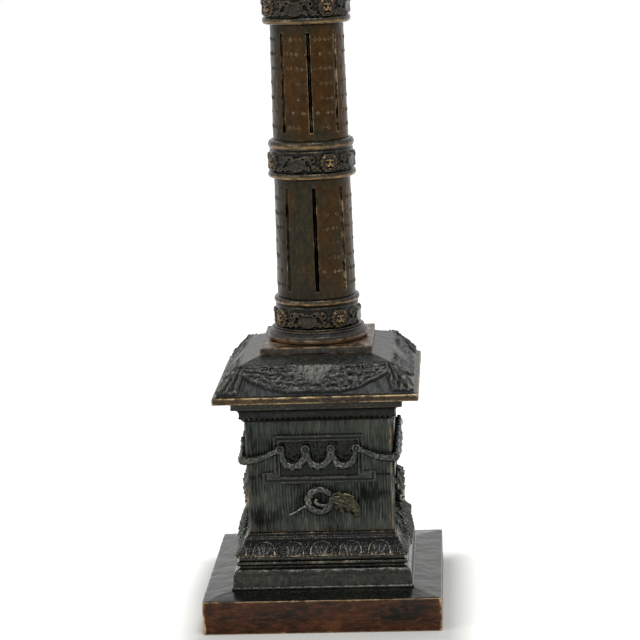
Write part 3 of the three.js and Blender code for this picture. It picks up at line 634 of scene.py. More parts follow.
def on_sides(bm, *sides):
    """A copy of a front piece for each side named, turned there; each is cast by itself."""
    for side in sides:
        yield side, turned(bm.copy(), SIDES[side] * QUARTER)
    bm.free()


tablet_skin = patina("tablet_patina", (0.019, 0.024, 0.02), (0.034, 0.036, 0.028), (0.1, 0.09, 0.065), wear=0.5)
for side, tablet in on_sides(framed_tablet(), *SIDES):
    cast(tablet, f"{side}_tablet", tablet_skin, "pedestal_bronze")


# Garlands: ropes of overlapping leaves, hung from four rosettes in three loops, with an end swept to each corner of
# the die, where the next garland takes it up. They are cast in one with their rosettes and pinned to the die.

def path_point(points, t):
    """A point on an even curve through all the points, t running from 0 to 1."""
    spans = len(points) - 1
    span = min(int(t * spans), spans - 1)
    local = t * spans - span
    near = [Vector(points[max(0, min(spans, span + step))]) for step in (-1, 0, 1, 2)]
    first, second, third, fourth = near
    bend = 2 * first - 5 * second + 4 * third - fourth
    swing = 3 * second - first - 3 * third + fourth
    return second + 0.5 * ((third - first) * local + bend * local ** 2 + swing * local ** 3)


def overlapped(along, across):
    """How high, 0 to 1, leaves in staggered rows stand; both are counted in leaves."""
    top = 0.0
    for row in (math.floor(along), math.floor(along) - 1):
        reach = (along - row) / 2
        aside = abs((across + 0.5 * (row % 2)) % 1 - 0.5) * 2
        outline = math.sin(math.pi * min(1, 0.1 + 0.9 * reach)) ** 0.6
        if aside < outline:
            top = max(top, 0.3 + 0.6 * reach - 0.3 * (aside / outline) ** 2 + 0.18 * swell(aside, 0.16))
    return top


def leafy_rope(bm, points, radius, leaf=2.6, flat=1.0, cuts=(70, 26), around=4, rise=0.35):
    """Rolls a grid into a rope of leaves along a path on the front face; radius is a function of 0 to 1."""
    rope = bmesh.new()
    bmesh.ops.create_grid(rope, x_segments=cuts[0], y_segments=cuts[1], size=1)
    out = Vector((0, -1, 0))
    length = sum(math.dist(path_point(points, i / 20), path_point(points, (i + 1) / 20)) for i in range(20))
    for vert in rope.verts:
        t, turn = (vert.co.x + 1) / 2, (vert.co.y + 1) / 2
        centre = path_point(points, t)
        ahead = (path_point(points, min(1, t + 0.01)) - path_point(points, max(0, t - 0.01))).normalized()
        side = ahead.cross(out).normalized()
        end = math.sqrt(max(0, 1 - abs(2 * t - 1) ** 16))
        reach = radius(t) * end * (1 - rise / 2 + rise * overlapped(t * length / leaf, turn * around))
        angle = turn * math.tau
        vert.co = centre + side * math.cos(angle) * reach + out * math.sin(angle) * reach * flat
    bmesh.ops.remove_doubles(rope, verts=rope.verts, dist=2e-3)
    add_to(bm, rope)


def add_to(bm, other):
    """Joins another mesh to this one."""
    loose = bpy.data.meshes.new("loose")
    other.to_mesh(loose)
    other.free()
    bm.from_mesh(loose)
    bpy.data.meshes.remove(loose)


def facing_front(bm, x, y, z):
    """Stands a piece that was turned about +Z on the front face, and hands it back."""
    bmesh.ops.translate(turned(bm, math.radians(90), "X"), verts=bm.verts, vec=(x, y, z))
    return bm


def ring_path(x, y, z, radius, start):
    """The points of an upright ring that faces the front."""
    angles = [math.tau * step / 16 + start for step in range(17)]
    return [(x + radius * math.cos(angle), y, z + radius * math.sin(angle)) for angle in angles]


ROSETTES = (-19.2, -6.4, 6.4, 19.2)
ROSETTE_HEIGHT = 89.9
FACE = -DIE_HALF


def rosette():
    """Eight petals in a rim round a button."""
    section = [(0, 0), (2, 0), (2.25, 0.9), (2.1, 1.8), (1.6, 2.1), (1.15, 1.6), (0.8, 1.7), (0.5, 2.4), (0, 2.5)]
    bm = spun(dense(section, 0.3), 32)
    for vert in bm.verts:
        reach, azimuth = polar(vert.co)
        vert.co.xy *= 1 + 0.07 * abs(math.cos(4 * azimuth)) * smooth(1, 1.7, reach)
    return bm


def garland():
    bm = bmesh.new()
    level = FACE - 2.3
    for x in ROSETTES:
        add_to(bm, facing_front(rosette(), x, FACE - 1.9, ROSETTE_HEIGHT))
    for left, right in zip(ROSETTES, ROSETTES[1:]):
        middle, half = (left + right) / 2, (right - left) * 0.44
        loop = []
        for step in range(9):
            angle = math.pi * step / 8
            drop = 8.4 * math.sin(angle) ** 0.75
            loop.append((middle - half * math.cos(angle), level - 0.3 * math.sin(angle), ROSETTE_HEIGHT - 0.6 - drop))
        leafy_rope(bm, loop, lambda t: 1.35 + 0.75 * math.sin(math.pi * t), leaf=2, cuts=(76, 28), rise=0.32)
    for hand in (-1, 1):
        sweep = [
            (19.2, level + 0.3, 89.8), (24, level, 87.6), (29, level, 85.4), (33.6, level - 0.3, 84.5),
            (37, FACE - 1.9, 84.3), (38.4, FACE - 1.9, 84.3),
        ]
        sweep = [(hand * x, y, z) for x, y, z in sweep]
        leafy_rope(bm, sweep, lambda t: 1.5 + 0.7 * t, leaf=2.3, cuts=(90, 30), around=5, rise=0.28)
    return bm


# Its grey rubbed metal on the raised leaves and strokes is wear, and also a painted highlight on them
relief_skin = patina(
    "relief_patina", (0.025, 0.029, 0.026), (0.052, 0.056, 0.047), (0.22, 0.22, 0.18), rough=0.26, wear=0.5
)
for side, swags in on_sides(garland(), *SIDES):
    cast(swags, f"{side}_garland", relief_skin, "relief_bronze", crease=80, reach=0.4)


# Crowns: on the front and the back, a ring of laurel with a hooked end inside it, its bare stem to the left and a
# drooping bunch of leaves to the right. Each is cast by itself and pinned to the die.

RING_X, RING_Z, RING_RADIUS = -0.2, 62.4, 5.9
BUNCH_START = 5.5


def crown():
    bm = bmesh.new()
    level = FACE - 1.3
    circle = ring_path(RING_X, level, RING_Z, RING_RADIUS, 0.35)
    leafy_rope(bm, circle, lambda t: 1.9, leaf=2, cuts=(180, 34), around=5, rise=0.3)
    hook = [(5, level, 60.8), (2.4, level, 59.9), (-0.6, level, 60.3), (-2.4, level, 61.9), (-1.6, level, 63.4)]
    leafy_rope(bm, hook, lambda t: 1.1 - 0.3 * t, leaf=2, cuts=(50, 18))
    stem = [(-4.6, level, 60.6), (-9, level + 0.2, 58.9), (-13, level + 0.4, 56.4), (-16, level + 0.6, 55.2)]
    leafy_rope(bm, stem, lambda t: 0.85 - 0.4 * t, rise=0.1, cuts=(40, 12))
    bunch = [
        (4.6, level, 63), (8, level - 0.1, 62.6), (11.5, level - 0.2, 61.6), (14.8, level - 0.1, 59.8),
        (17.4, level, 56.8), (18.4, level + 0.3, 53.2),
    ]
    leafy_rope(bm, bunch, lambda t: 1.7 + 2.6 * math.sin(math.pi * min(1, t * 1.15)), leaf=2.7, flat=0.55,
               cuts=(120, 56), around=7, rise=0.45)
    for face in bm.faces:
        face.material_index = int(face.calc_center_median().x > BUNCH_START)
    return bm


gilt_skin = patina("gilt_patina", (0.02, 0.021, 0.013), (0.046, 0.04, 0.02), (0.13, 0.112, 0.06), rough=0.28)
for side, wreath in on_sides(crown(), "front", "back"):
    crown_piece = cast(wreath, f"{side}_crown", relief_skin, "relief_bronze", crease=80, reach=0.4)
    crown_piece.data.materials.append(gilt_skin)


# Trophies: on the right and the left, a sheaf of laurel that leans on the die over the mouldings, tied with a knot
# under a small wreath. Each is one casting, hollowed behind to fit the mouldings.

HEAP_HALF, HEAP_FOOT, HEAP_HIGH = 16.6, 30.1, 23.4
SHOULDER, SHOULDER_FALL = 39, 14.6
FLANK, FLANK_WIDE = 0.7, 1.6
SHEAF_TOP, SHEAF_LEAF, SHEAF_FAN = 60, 3.2, 0.13
WREATH_Z = 62
HEAP_SECTION = (
    (29.6, 7.9), (30.4, 8.6), (33, 9.2), (36, 9.4), (40, 8.8), (43, 7.7), (47, 6.4), (50, 5), (52, 3.4), (53.4, 0.6),
)


def heap_depth(height):
    """How far the heap of laurel stands out of the die at that height."""
    for (low, near), (high, far) in zip(HEAP_SECTION, HEAP_SECTION[1:]):
        if low <= height <= high:
            return near + (far - near) * (height - low) / (high - low)
    return 0.0


def heap():
    """A grid that is swelled into a sheaf, its leaves fanned out in overlapping rows from under the wreath."""
    bm = bmesh.new()
    bmesh.ops.create_grid(bm, x_segments=180, y_segments=130, size=1)
    flanks = {}
    for vert in bm.verts:
        aside, hand = abs(vert.co.x), math.copysign(1, vert.co.x)
        z = HEAP_FOOT + (vert.co.y + 1) / 2 * HEAP_HIGH
        shoulder = HEAP_HALF * math.sqrt(max(0, 1 - (max(0, z - SHOULDER) / SHOULDER_FALL) ** 2))
        rise = min(1, (1 - aside) / (1 - FLANK))
        flat = min(1, aside / FLANK)
        across = shoulder - FLANK_WIDE * rise if aside > FLANK else max(0, shoulder - FLANK_WIDE) * flat
        depth = heap_depth(z) * (0.75 * math.sin(rise * math.pi / 2) + 0.25 * math.cos(flat * math.pi / 2) ** 0.5)
        vert.co = (hand * across, FACE - depth + 0.2, z)
        flanks[vert] = (heap_depth(z) - depth, rise)
    bmesh.ops.recalc_face_normals(bm, faces=bm.faces)
    bm.normal_update()
    outward = -math.copysign(1, sum(face.normal.y * face.calc_area() for face in bm.faces))
    lifts = {}
    for vert, (down, rise) in flanks.items():
        from_top = SHEAF_TOP - vert.co.z
        reach = math.hypot(vert.co.x, from_top) + down
        fan = math.atan2(vert.co.x, from_top) / SHEAF_FAN + 0.3 * noise.noise(vert.co / 4)
        lifts[vert] = vert.normal * outward * (1.7 * overlapped(reach / SHEAF_LEAF, fan) - 1.2) * min(1, rise * 5)
    for vert, lift in lifts.items():
        vert.co += lift
    rim = [edge for edge in bm.edges if edge.is_boundary]
    back = bmesh.ops.extrude_edge_only(bm, edges=rim)
    for vert in (part for part in back["geom"] if isinstance(part, bmesh.types.BMVert)):
        vert.co.y = FACE + 1.2
    bmesh.ops.holes_fill(bm, edges=[edge for edge in bm.edges if edge.is_boundary])
    return bm


def trophy():
    bm = heap()
    circle = ring_path(0, FACE - 2, WREATH_Z, 5.6, math.pi / 2)
    leafy_rope(bm, circle, lambda t: 2.3, leaf=2.2, flat=1.25, cuts=(180, 40), around=6, rise=0.55)
    flower = rosette()
    bmesh.ops.scale(flower, verts=flower.verts, vec=(1.2, 1.2, 1.5))
    add_to(bm, facing_front(flower, 0, FACE + 0.2, WREATH_Z))
    for hand in (-1, 1):
        loop = [
            (0, FACE - 4, 53.6), (hand * 2.6, FACE - 4.4, 55), (hand * 5, FACE - 3, 54.8),
            (hand * 5.4, FACE - 3, 53.2), (hand * 3, FACE - 4.4, 52.6), (0, FACE - 4.6, 53.4),
        ]
        leafy_rope(bm, loop, lambda t: 0.8, rise=0.1, cuts=(60, 14))
    return bm


for side, bunch in on_sides(trophy(), "right", "left"):
    cast(bunch, f"{side}_trophy", relief_skin, "relief_bronze", crease=80, reach=0.5)


# Cap: a thin slab with a hipped roof. A cloth hangs in a swag over each slope, gathered at the top corners, and falls
# in a pleated tail over each hip; the bare slope between them is painted dark, as shade under the cloth and tails.
# It is one hollow casting.

SLOPE_FOOT, SLOPE_TOP = (49.4, 120.0), (37.5, 133.3)
SLOPE_LENGTH = math.dist(SLOPE_FOOT, SLOPE_TOP)
SLOPE_OUT = (SLOPE_TOP[1] - SLOPE_FOOT[1]) / SLOPE_LENGTH
SLOPE_UP = (SLOPE_FOOT[0] - SLOPE_TOP[0]) / SLOPE_LENGTH
CAP = [
    (HOLLOW, 116.1), (51.4, 116.1), (51.4, 119.4), SLOPE_FOOT, SLOPE_TOP, (28.3, 136.2), (20, 136.2), (20, 131),
    (HOLLOW, 125), (HOLLOW, 116.1),
]


def drape(along, up_slope, half):
    """How thick the cloth lies on a slope, with its folds, and how bare the slope is, which is painted in shade."""
    aside = abs(along)
    drift = noise.noise((along * 0.16, up_slope * 0.3, 5))
    lowest = 1.5 + 0.059 * max(0, aside - 12) ** 1.6 + 0.7 * drift
    hang = (17.2 - up_slope) / max(0.5, 17.2 - lowest)
    swag = smooth(0, 0.6, up_slope - lowest) * smooth(0, 0.5, 17.5 - up_slope)
    plain = (1 - smooth(6, 12, aside + 9 * hang)) * smooth(-0.02, 0.02, 0.62 - hang)
    folds = math.cos(math.tau * (3.2 * hang + 0.5 * drift)) * smooth(0.12, 0.3, hang)
    wrinkles = noise.fractal((along * 0.36, up_slope * 1.1, 1), 0.7, 2.0, 3)
    cloth = swag * (1.2 + 0.5 * hang + (0.3 * folds + 0.55 * wrinkles) * (1 - plain))
    knot = math.hypot((aside - 19) / 8, (up_slope - 15) / 1.7)
    curls = lumps((aside * 0.9, up_slope * 1.1, 12), 2)
    cloth += smooth(1.1, 0.5, knot) * (0.3 + 1.5 * curls)
    width = 10.8 - 7 * (up_slope - 1) / 16
    from_hip = half - aside
    across = from_hip / width
    pleats = 0.5 + 0.5 * math.cos(math.tau * (2.6 * across + 0.3 * drift + 0.02 * up_slope))
    hem = 0.8 + 0.6 * pleats + 0.5 * drift
    tail = smooth(0, 0.7, width - from_hip) * smooth(0, 0.5, up_slope - hem) * smooth(0, 0.6, 17.6 - up_slope)
    gather = 1.4 + 0.8 * pleats + 0.5 * lumps((along * 0.8, up_slope * 0.2, 8), 2)
    bare = smooth(0.2, 1.5, up_slope) * smooth(0, 1.5, SLOPE_LENGTH - up_slope)
    rough = 0.12 * lumps((along * 0.5, up_slope * 0.5, 4))
    return max(cloth, tail * gather) - (0.6 - rough) * bare, bare * (1 - max(swag, tail))


cap = squared(dense(eased(CAP, 0.45), 0.5, HOLLOW), 230)
cap_painted_shade = cap.verts.layers.float.new(TONE)
for vert in cap.verts:
    half = half_width(vert.co)
    up_slope = (vert.co.z - SLOPE_FOOT[1]) / SLOPE_OUT
    if half > 36.9 and 0 < up_slope < SLOPE_LENGTH:
        thick, bare = drape(along_side(vert.co), up_slope, half)
        push_out(vert, thick * SLOPE_OUT, thick * SLOPE_UP)
        # The bare slope is painted darker, as the shade under the cloth and the tails
        vert[cap_painted_shade] = -0.5 * bare
round_corners(cap, 0.8, 116.2, 119.6)
weather(cap, 0.13, 5)
cap_skin = patina("cap_patina", (0.02, 0.023, 0.021), (0.038, 0.038, 0.032), (0.12, 0.11, 0.09), wear=0.6, edge=0.3)
band_skin = patina(
    "rubbed_band", (0.018, 0.014, 0.009), (0.056, 0.034, 0.017), (0.36, 0.27, 0.14), wear=0.65, edge=0.18
)
cap.normal_update()
for face in cap.faces:
    middle = face.calc_center_median()
    is_top = middle.z > 133.4 and face.normal.z > 0.8
    face.material_index = 1 if middle.z < 119.8 else 2 if is_top else 0
cap_piece = cast(cap, "cap", cap_skin, "pedestal_bronze", crease=75)
for skin in (band_skin, green_black):
    cap_piece.data.materials.append(skin)


# Column plinth and torus: a square block under the round foot of the column, both rubbed brown.

plinth_skin = patina("plinth_patina", (0.022, 0.023, 0.021), (0.042, 0.034, 0.024), (0.29, 0.18, 0.1), wear=0.55)
brown = patina(
    "brown_patina", (0.023, 0.02, 0.012), (0.046, 0.024, 0.008), (0.26, 0.2, 0.12), wear=0.5, metal=0.85,
    flecks=(500, 500, 300)
)
COLUMN_TURN = math.radians(5)
ROD_HOLE = 3.9
block = squared(dense(eased(hollow(ROD_HOLE, (28.3, 136.2), (28.3, 139.8)), 0.4), 0.6, ROD_HOLE), 90, 0.3)
round_corners(block, 0.7, 136.2, 139.8)
weather(block, 0.12, 6)
cast(block, "column_plinth", plinth_skin, "column_bronze")

BORE = 16.9
TORUS = hollow(
    BORE, (24.2, 139.8), (25.3, 140.6), (25.7, 142.1), (25.3, 143.6), (24.1, 144.5), (23.5, 144.9), (23.8, 145.6),
    (23.4, 146.2)
)
torus = spun(dense(eased(TORUS, 0.4), 0.45, BORE), 60, 4)
weather(torus, 0.14, 6)
tint(torus, lambda co: 0.62 - 0.92 * smooth(141.3, 142.9, co.z + 0.8 * noise.noise(co / 4)))
cast(torus, "column_torus", plinth_skin, "column_bronze")


# Collars: a band between two rolled rings hides each joint of the shaft. On the band four lion masks alternate with
# four cartouches, and scrolls fill the ground between them. They are cast, chased, and rubbed golden on the noses.

BAND = 21.2


def dome(x, z, centre, size, high):
    """A rounded lump of a relief."""
    inside = 1 - ((x - centre[0]) / size[0]) ** 2 - ((z - centre[1]) / size[1]) ** 2
    return high * math.sqrt(inside) if inside > 0 else 0.0


def ridge(x, z, line, width, high):
    """A rounded ridge of a relief, along a line of points."""
    best = width
    for (ax, az), (bx, bz) in zip(line, line[1:]):
        run, rise = bx - ax, bz - az
        t = max(0, min(1, ((x - ax) * run + (z - az) * rise) / (run * run + rise * rise)))
        best = min(best, math.hypot(x - ax - t * run, z - az - t * rise))
    return high * math.sqrt(1 - (best / width) ** 2)


def scroll(x, z, turns, size, hand=1, start=0.0, steps=10):
    """The points of a scroll that winds in on its centre."""
    line = []
    for step in range(steps + 1):
        t = step / steps
        angle = start + turns * math.tau * t
        reach = size * (1 - 0.72 * t)
        line.append((x + hand * reach * math.cos(angle), z + reach * math.sin(angle)))
    return line


MANE = []
for lock in range(15):
    angle = math.tau * lock / 15 + 0.1
    MANE.append([
        (2.2 * math.cos(angle), 2.6 * math.sin(angle)), (3.4 * math.cos(angle + 0.1), 3.9 * math.sin(angle + 0.1)),
        (4 * math.cos(angle + 0.32), 4.7 * math.sin(angle + 0.32)),
    ])
SCROLLS = [scroll(7.8, 1.6, 1.1, 2, -1), scroll(9, -2.2, -1, 1.8, 1), scroll(5.9, -2.9, 0.9, 1.3, -1)]
STALK = [(5.6, 3.4), (6.8, 0.4), (7.8, -1.2), (10.6, -3.2), (12, -3.6)]
SHIELD_SCROLL = [(0, 2.3), (1.8, 2.7), (3.4, 3.4), (4.8, 3.3), (5.3, 2.3), (4.6, 1.6)]


def lion(x, z):
    """The relief of a lion's mask, about its middle."""
    aside = abs(x)
    high = max(ridge(x, z, lock, 0.8, 1.25) for lock in MANE)
    high = max(high, dome(x, z, (0, 0.1), (3.9, 4.4), 0.9), dome(x, z, (0, -0.1), (2.8, 3.3), 1.7))
    high = max(high, dome(aside, z, (1.5, -0.7), (1.2, 1.4), 1.95), dome(aside, z, (2.6, 2.9), (0.85, 1), 1.7))
    high = max(high, dome(aside, z, (1.1, 1.3), (1.15, 0.65), 2.2), dome(x, z, (0, 0.6), (0.65, 1.9), 2.35))
    high = max(high, dome(x, z, (0, -0.6), (0.9, 0.65), 2.75), dome(aside, z, (0.8, -1.4), (1, 0.85), 2.5))
    high = max(high, dome(x, z, (0, -2.8), (1, 0.75), 2.0))
    return high - dome(aside, z, (1.05, 0.5), (0.5, 0.36), 0.8) - dome(x, z, (0, -2.1), (1.3, 0.3), 0.8)


def cartouche(x, z):
    """The relief of a shield with rolled upper corners, and of the scrolls beside it."""
    aside = abs(x)
    shield = dome(aside, z, (0, -0.5), (5.2, 4), 1.0)
    high = max(min(shield * 2.4, 1.25) - dome(aside, z, (0, -0.6), (4.2, 3), 0.4), 0)
    high = max(high, ridge(aside, z, SHIELD_SCROLL, 0.75, 1.6), dome(aside, z, (4.4, 2.2), (0.7, 0.7), 1.7))
    for line in SCROLLS:
        high = max(high, ridge(aside, z, line, 0.7, 1.3))
    ground = 0.35 * max(0, noise.noise((aside * 0.9, z * 0.9, 4)))
    return max(high, ridge(aside, z, STALK, 0.8, 1.15), ground)


RINGS = (160.4, 224.7, 240, 301.9, 317)


def ring_tone(co):
    """Rubbed metal shows along the lower front of each rolled ring, and the rest stays dark."""
    from_ring = min(abs(co.z - height + 0.5 + 0.5 * noise.noise(co / 5)) for height in RINGS)
    return (0.64 + 0.16 * noise.noise(co / 4)) * swell(from_ring, 1.1) - 0.08


def collar_relief(bm, middle, turn):
    """Raises the masks and cartouches out of a plain band, and notes that the noses and brows are rubbed."""
    tint(bm, ring_tone)
    rubbed = bm.verts.layers.float[TONE]
    for vert in bm.verts:
        reach, azimuth = polar(vert.co)
        z = vert.co.z - middle
        if abs(reach - BAND) > 0.3 or abs(z) > 5:
            continue
        azimuth -= math.radians(turn + 22.5)
        around = ((azimuth + QUARTER / 2) % QUARTER - QUARTER / 2) * BAND
        other = (azimuth % QUARTER - QUARTER / 2) * BAND
        high = lion(around, z) if abs(around) < 5 else 0.0
        vert[rubbed] += 0.34 * smooth(0.9, 1.6, high) + 0.5 * smooth(1.9, 2.4, high)
        high = max(high, cartouche(other, z))
        fade = smooth(4.9, 4.3, abs(z))
        vert.co.xy *= 1 + (high * fade - 0.25) / reach


COLLARS = {
    "lower": (7, 151.9, hollow(
        BORE, (22.6, 146.2), (22.6, 146.9), (BAND, 147.4), (BAND, 157.9), (20.6, 158.5), (21.5, 159.1), (22, 160.4),
        (21.5, 161.7), (20, 162.2)
    )),
    "middle": (0, 231.4, hollow(
        16.2, (20.4, 222.8), (22, 223.4), (22.5, 224.7), (22, 226), (BAND, 226.6), (BAND, 236.9), (20.6, 237.5),
        (21.4, 238.4), (21.8, 240), (21.3, 241.6), (19.8, 242.4)
    )),
    "upper": (5, 308.6, hollow(
        15.6, (20.2, 300), (21.9, 300.6), (22.3, 301.9), (21.9, 303.2), (BAND, 303.8), (BAND, 313.9), (20.6, 314.5),
        (21.4, 315.4), (21.8, 317), (21.3, 318.6), (19.8, 319.4)
    )),
}
collar_skin = patina(
    "collar_patina", (0.017, 0.018, 0.015), (0.042, 0.031, 0.016), (0.27, 0.155, 0.062), rough=0.26, wear=0.4, edge=0.4
)
for level, (turn, middle, profile) in COLLARS.items():
    collar = spun(dense(eased(profile, 0.35), 0.33, BORE), 60, 7)
    collar_relief(collar, middle, turn)
    weather(collar, 0.12, 4)
    cast(turned(collar, COLUMN_TURN), f"{level}_collar", collar_skin, "column_bronze", crease=75)


# Drums: three hollow lengths of shaft, a little tapered. Each has eight panels with a blind slot between each two,
# and rows of small punched quatrefoils across the panels, some of them worn away.

PANELS = 8
WALL = 3.2
MARK_ROW, MARK_WIDTH = 7.3, 2.4


def panel_depth(azimuth, height, low, high):
    """The depth of the slots, and the height of the punched quatrefoils, at a point of a drum."""
    panel = azimuth / math.tau * PANELS
    from_slot = abs((panel + 0.5) % 1 - 0.5) * math.tau * 19 / PANELS
    ends = smooth(low + 3.8, low + 4.4, height) * (1 - smooth(high - 4.4, high - 3.8, height))
    slot = 1.2 * (1 - smooth(0.7, 1, from_slot)) * ends
    cord = 1.1 * swell(from_slot, 0.3) * ends
    row = (height - low - 3) / MARK_ROW
    in_row = (row % 1 - 0.5) * MARK_ROW
    place = from_slot / MARK_WIDTH
    worn_away = noise.cell((math.floor(place) + 7 * math.floor(panel + 0.5), math.floor(row), 2.5)) > 0.45
    x, z = (place % 1 - 0.5) * MARK_WIDTH, in_row
    petals = abs(math.cos(2 * math.atan2(z, x)))
    mark = 0 if worn_away else swell(math.hypot(x, z) - 0.35 - 0.4 * petals, 0.2)
    mark *= smooth(1.3, 2.2, from_slot) * ends
    return cord - slot + 0.35 * mark


def drum_tone(co, low, high, ruddy):
    """Greener along the ends, browner to the right, and each panel of its own shade."""
    panel = math.floor(polar(co)[1] / math.tau * PANELS)
    own = 0.12 * noise.noise((panel * 3.7, low, 1))
    ends = 0.13 * (1 - smooth(1, 8, co.z - low)) + 0.13 * (1 - smooth(1, 6, high - co.z))
    return ruddy + 0.005 * co.x + own - ends + 0.08 * noise.noise(co / 9)


drum_skin = patina(
    "drum_patina", (0.024, 0.022, 0.014), (0.044, 0.021, 0.006), (0.26, 0.2, 0.12), wear=0.5, metal=0.93,
    clouds=(60, 60, 25), flecks=(400, 400, 250), speck=0.5
)
DRUMS = {
    "lower": (162.2, 222.8, 20.0, 19.32, -0.02),
    "middle": (242.4, 300.0, 19.1, 18.45, 0.06),
    "upper": (319.4, 375.0, 18.22, 17.6, 0.02),
}
for level, (low, high, foot, top, ruddy) in DRUMS.items():
    section = hollow(foot - WALL, (foot, low), (top, high))
    drum = spun(dense(eased(section, 0.3), 0.45, foot - WALL), 60, 7)
    for vert in drum.verts:
        crowd = math.radians(2.6) * math.sin(PANELS * (polar(vert.co)[1] + math.radians(22.5)))
        vert.co.xy = Matrix.Rotation(crowd, 2) @ vert.co.xy
    for vert in drum.verts:
        reach, azimuth = polar(vert.co)
        if reach > foot - 1.6 and low + 1 < vert.co.z < high - 1:
            vert.co.xy *= 1 + panel_depth(azimuth, vert.co.z, low, high) / reach
    weather(drum, 0.16, 7)
    tint(drum, lambda co: drum_tone(co, low, high, ruddy))
    cast(turned(drum, COLUMN_TURN), f"{level}_drum", drum_skin, "column_bronze", crease=75, reach=0.5)


# Neck ring and capital: an astragal, then a bell with two rows of curled leaves, and a scroll under each corner of
# the abacus. The bell is one casting; the leaves are bent out of it by the founder's cores.

NECK_BORE = 14.4
NECK = hollow(NECK_BORE, (18.2, 375), (19.4, 375.8), (19.6, 376.9), (19.4, 378), (18.2, 379))
neck = spun(dense(eased(NECK, 0.35), 0.4, NECK_BORE), 48, 3)
weather(neck, 0.1, 5)
cast(neck, "neck_ring", brown, "column_bronze")

BELL = hollow(
    NECK_BORE, (17.3, 379), (17.4, 388), (18.6, 394), (20.6, 398.6), (22.4, 400.2), (22.4, 403)
)
EIGHTH = math.pi / 4
LOWER_LEAF = {"turn": 0.0, "low": 379.4, "high": 391.2, "half": 6.2, "out": 2.1}
UPPER_LEAF = {"turn": EIGHTH / 2, "low": 381, "high": 398.6, "half": 5.4, "out": 2.0}
LEAF_DROOP = 1.3
VOLUTE = (26.2, 399.5)


def bell_leaf(azimuth, height, turn, low, high, half, out):
    """How far an acanthus leaf, lobed, ribbed and rolled over at its tip, stands out of the bell; and the roll."""
    t = (height - low) / (high - low)
    across = ((azimuth - turn + EIGHTH / 2) % EIGHTH - EIGHTH / 2) * 19
    if not 0 <= t <= 1.02:
        return 0.0, 0.0
    lobes = 0.86 + 0.14 * abs(math.cos(3.5 * math.pi * t))
    wide = half * (0.8 + 0.3 * math.sin(math.pi * t)) * lobes * math.sqrt(max(0.0, 1 - smooth(0.6, 1.04, t)))
    inside = smooth(0, 0.6, wide - abs(across))
    toothed = half * (0.74 + 0.08 * math.cos(across * 2.6))
    roll = math.sqrt(max(0.0, 1 - ((t - 0.86) / 0.14) ** 2) * max(0.0, 1 - (across / toothed) ** 2))
    rib = 0.4 * swell(across, 0.45)
    flutes = 0.3 * math.cos(math.tau * (t * 3.5 + 0.28 * abs(across))) * smooth(0.5, 1.5, abs(across))
    return inside * (0.7 + 0.9 * t * t + rib + flutes * (1 + roll) + out * roll), inside * roll


def ribbon(bm, path, half, thick):
    """A band with raised rims along a path of (reach, height) points on the front; half and thick are functions."""
    sections = []
    for index, point in enumerate(path):
        t = index / (len(path) - 1)
        ahead = Vector(path[min(index + 1, len(path) - 1)]) - Vector(path[max(index - 1, 0)])
        out = Vector((-ahead.y, ahead.x)).normalized()
        wide, deep = half(t), thick(t)
        outline = [
            (-wide, deep), (-wide + 0.3, deep + 0.25), (-wide + 0.7, deep), (wide - 0.7, deep),
            (wide - 0.3, deep + 0.25), (wide, deep), (wide, -deep), (-wide, -deep),
        ]
        ring = []
        for side, off in outline:
            reach, height = Vector(point) + out * off
            ring.append(bm.verts.new((side, -reach, height)))
        sections.append(ring)
    for first, second in zip(sections, sections[1:]):
        for a in range(len(first)):
            b = (a + 1) % len(first)
            bm.faces.new((first[a], first[b], second[b], second[a]))
    bm.faces.new(sections[0])
    bm.faces.new(sections[-1])


def volute():
    """A stalk that climbs the bell and winds into a scroll round a button."""
    bm = bmesh.new()
    stalk = [(17.6, 390.4), (18.1, 392), (19.1, 394.5), (21, 398), (23.4, 400.9)]
    curl = scroll(*VOLUTE, turns=-1.8, size=2.7, start=0.62 * math.pi, steps=39)
    ribbon(bm, stalk + curl, lambda t: 1.3 + 0.7 * smooth(0, 0.15, t), lambda t: 1.2 - 0.8 * smooth(0, 0.16, t))
    button = bmesh.new()
    bmesh.ops.create_cone(button, cap_ends=True, segments=24, radius1=2.1, radius2=2.1, depth=2.6)
    bmesh.ops.translate(turned(button, QUARTER, "Y"), verts=button.verts, vec=(0, -VOLUTE[0], VOLUTE[1]))
    add_to(bm, button)
    return bm


capital = spun(dense(eased(BELL, 0.4), 0.38, NECK_BORE), 60, 6)
for vert in capital.verts:
    reach, azimuth = polar(vert.co)
    if reach > 16:
        lower, lower_roll = bell_leaf(azimuth, vert.co.z, **LOWER_LEAF)
        upper, upper_roll = bell_leaf(azimuth, vert.co.z, **UPPER_LEAF)
        lift = max(lower + 0.5, upper) - 0.5 * smooth(402, 400, vert.co.z)
        vert.co.z -= LEAF_DROOP * max(lower_roll, upper_roll)
        vert.co.xy *= 1 + lift / reach
weather(capital, 0.1, 4)
for number in range(4):
    add_to(capital, turned(volute(), EIGHTH + QUARTER * number))
cast(capital, "capital", collar_skin, "column_bronze", crease=60)


# Abacus: a square plate with hollowed sides and clipped corners, and a flower in the middle of each side.

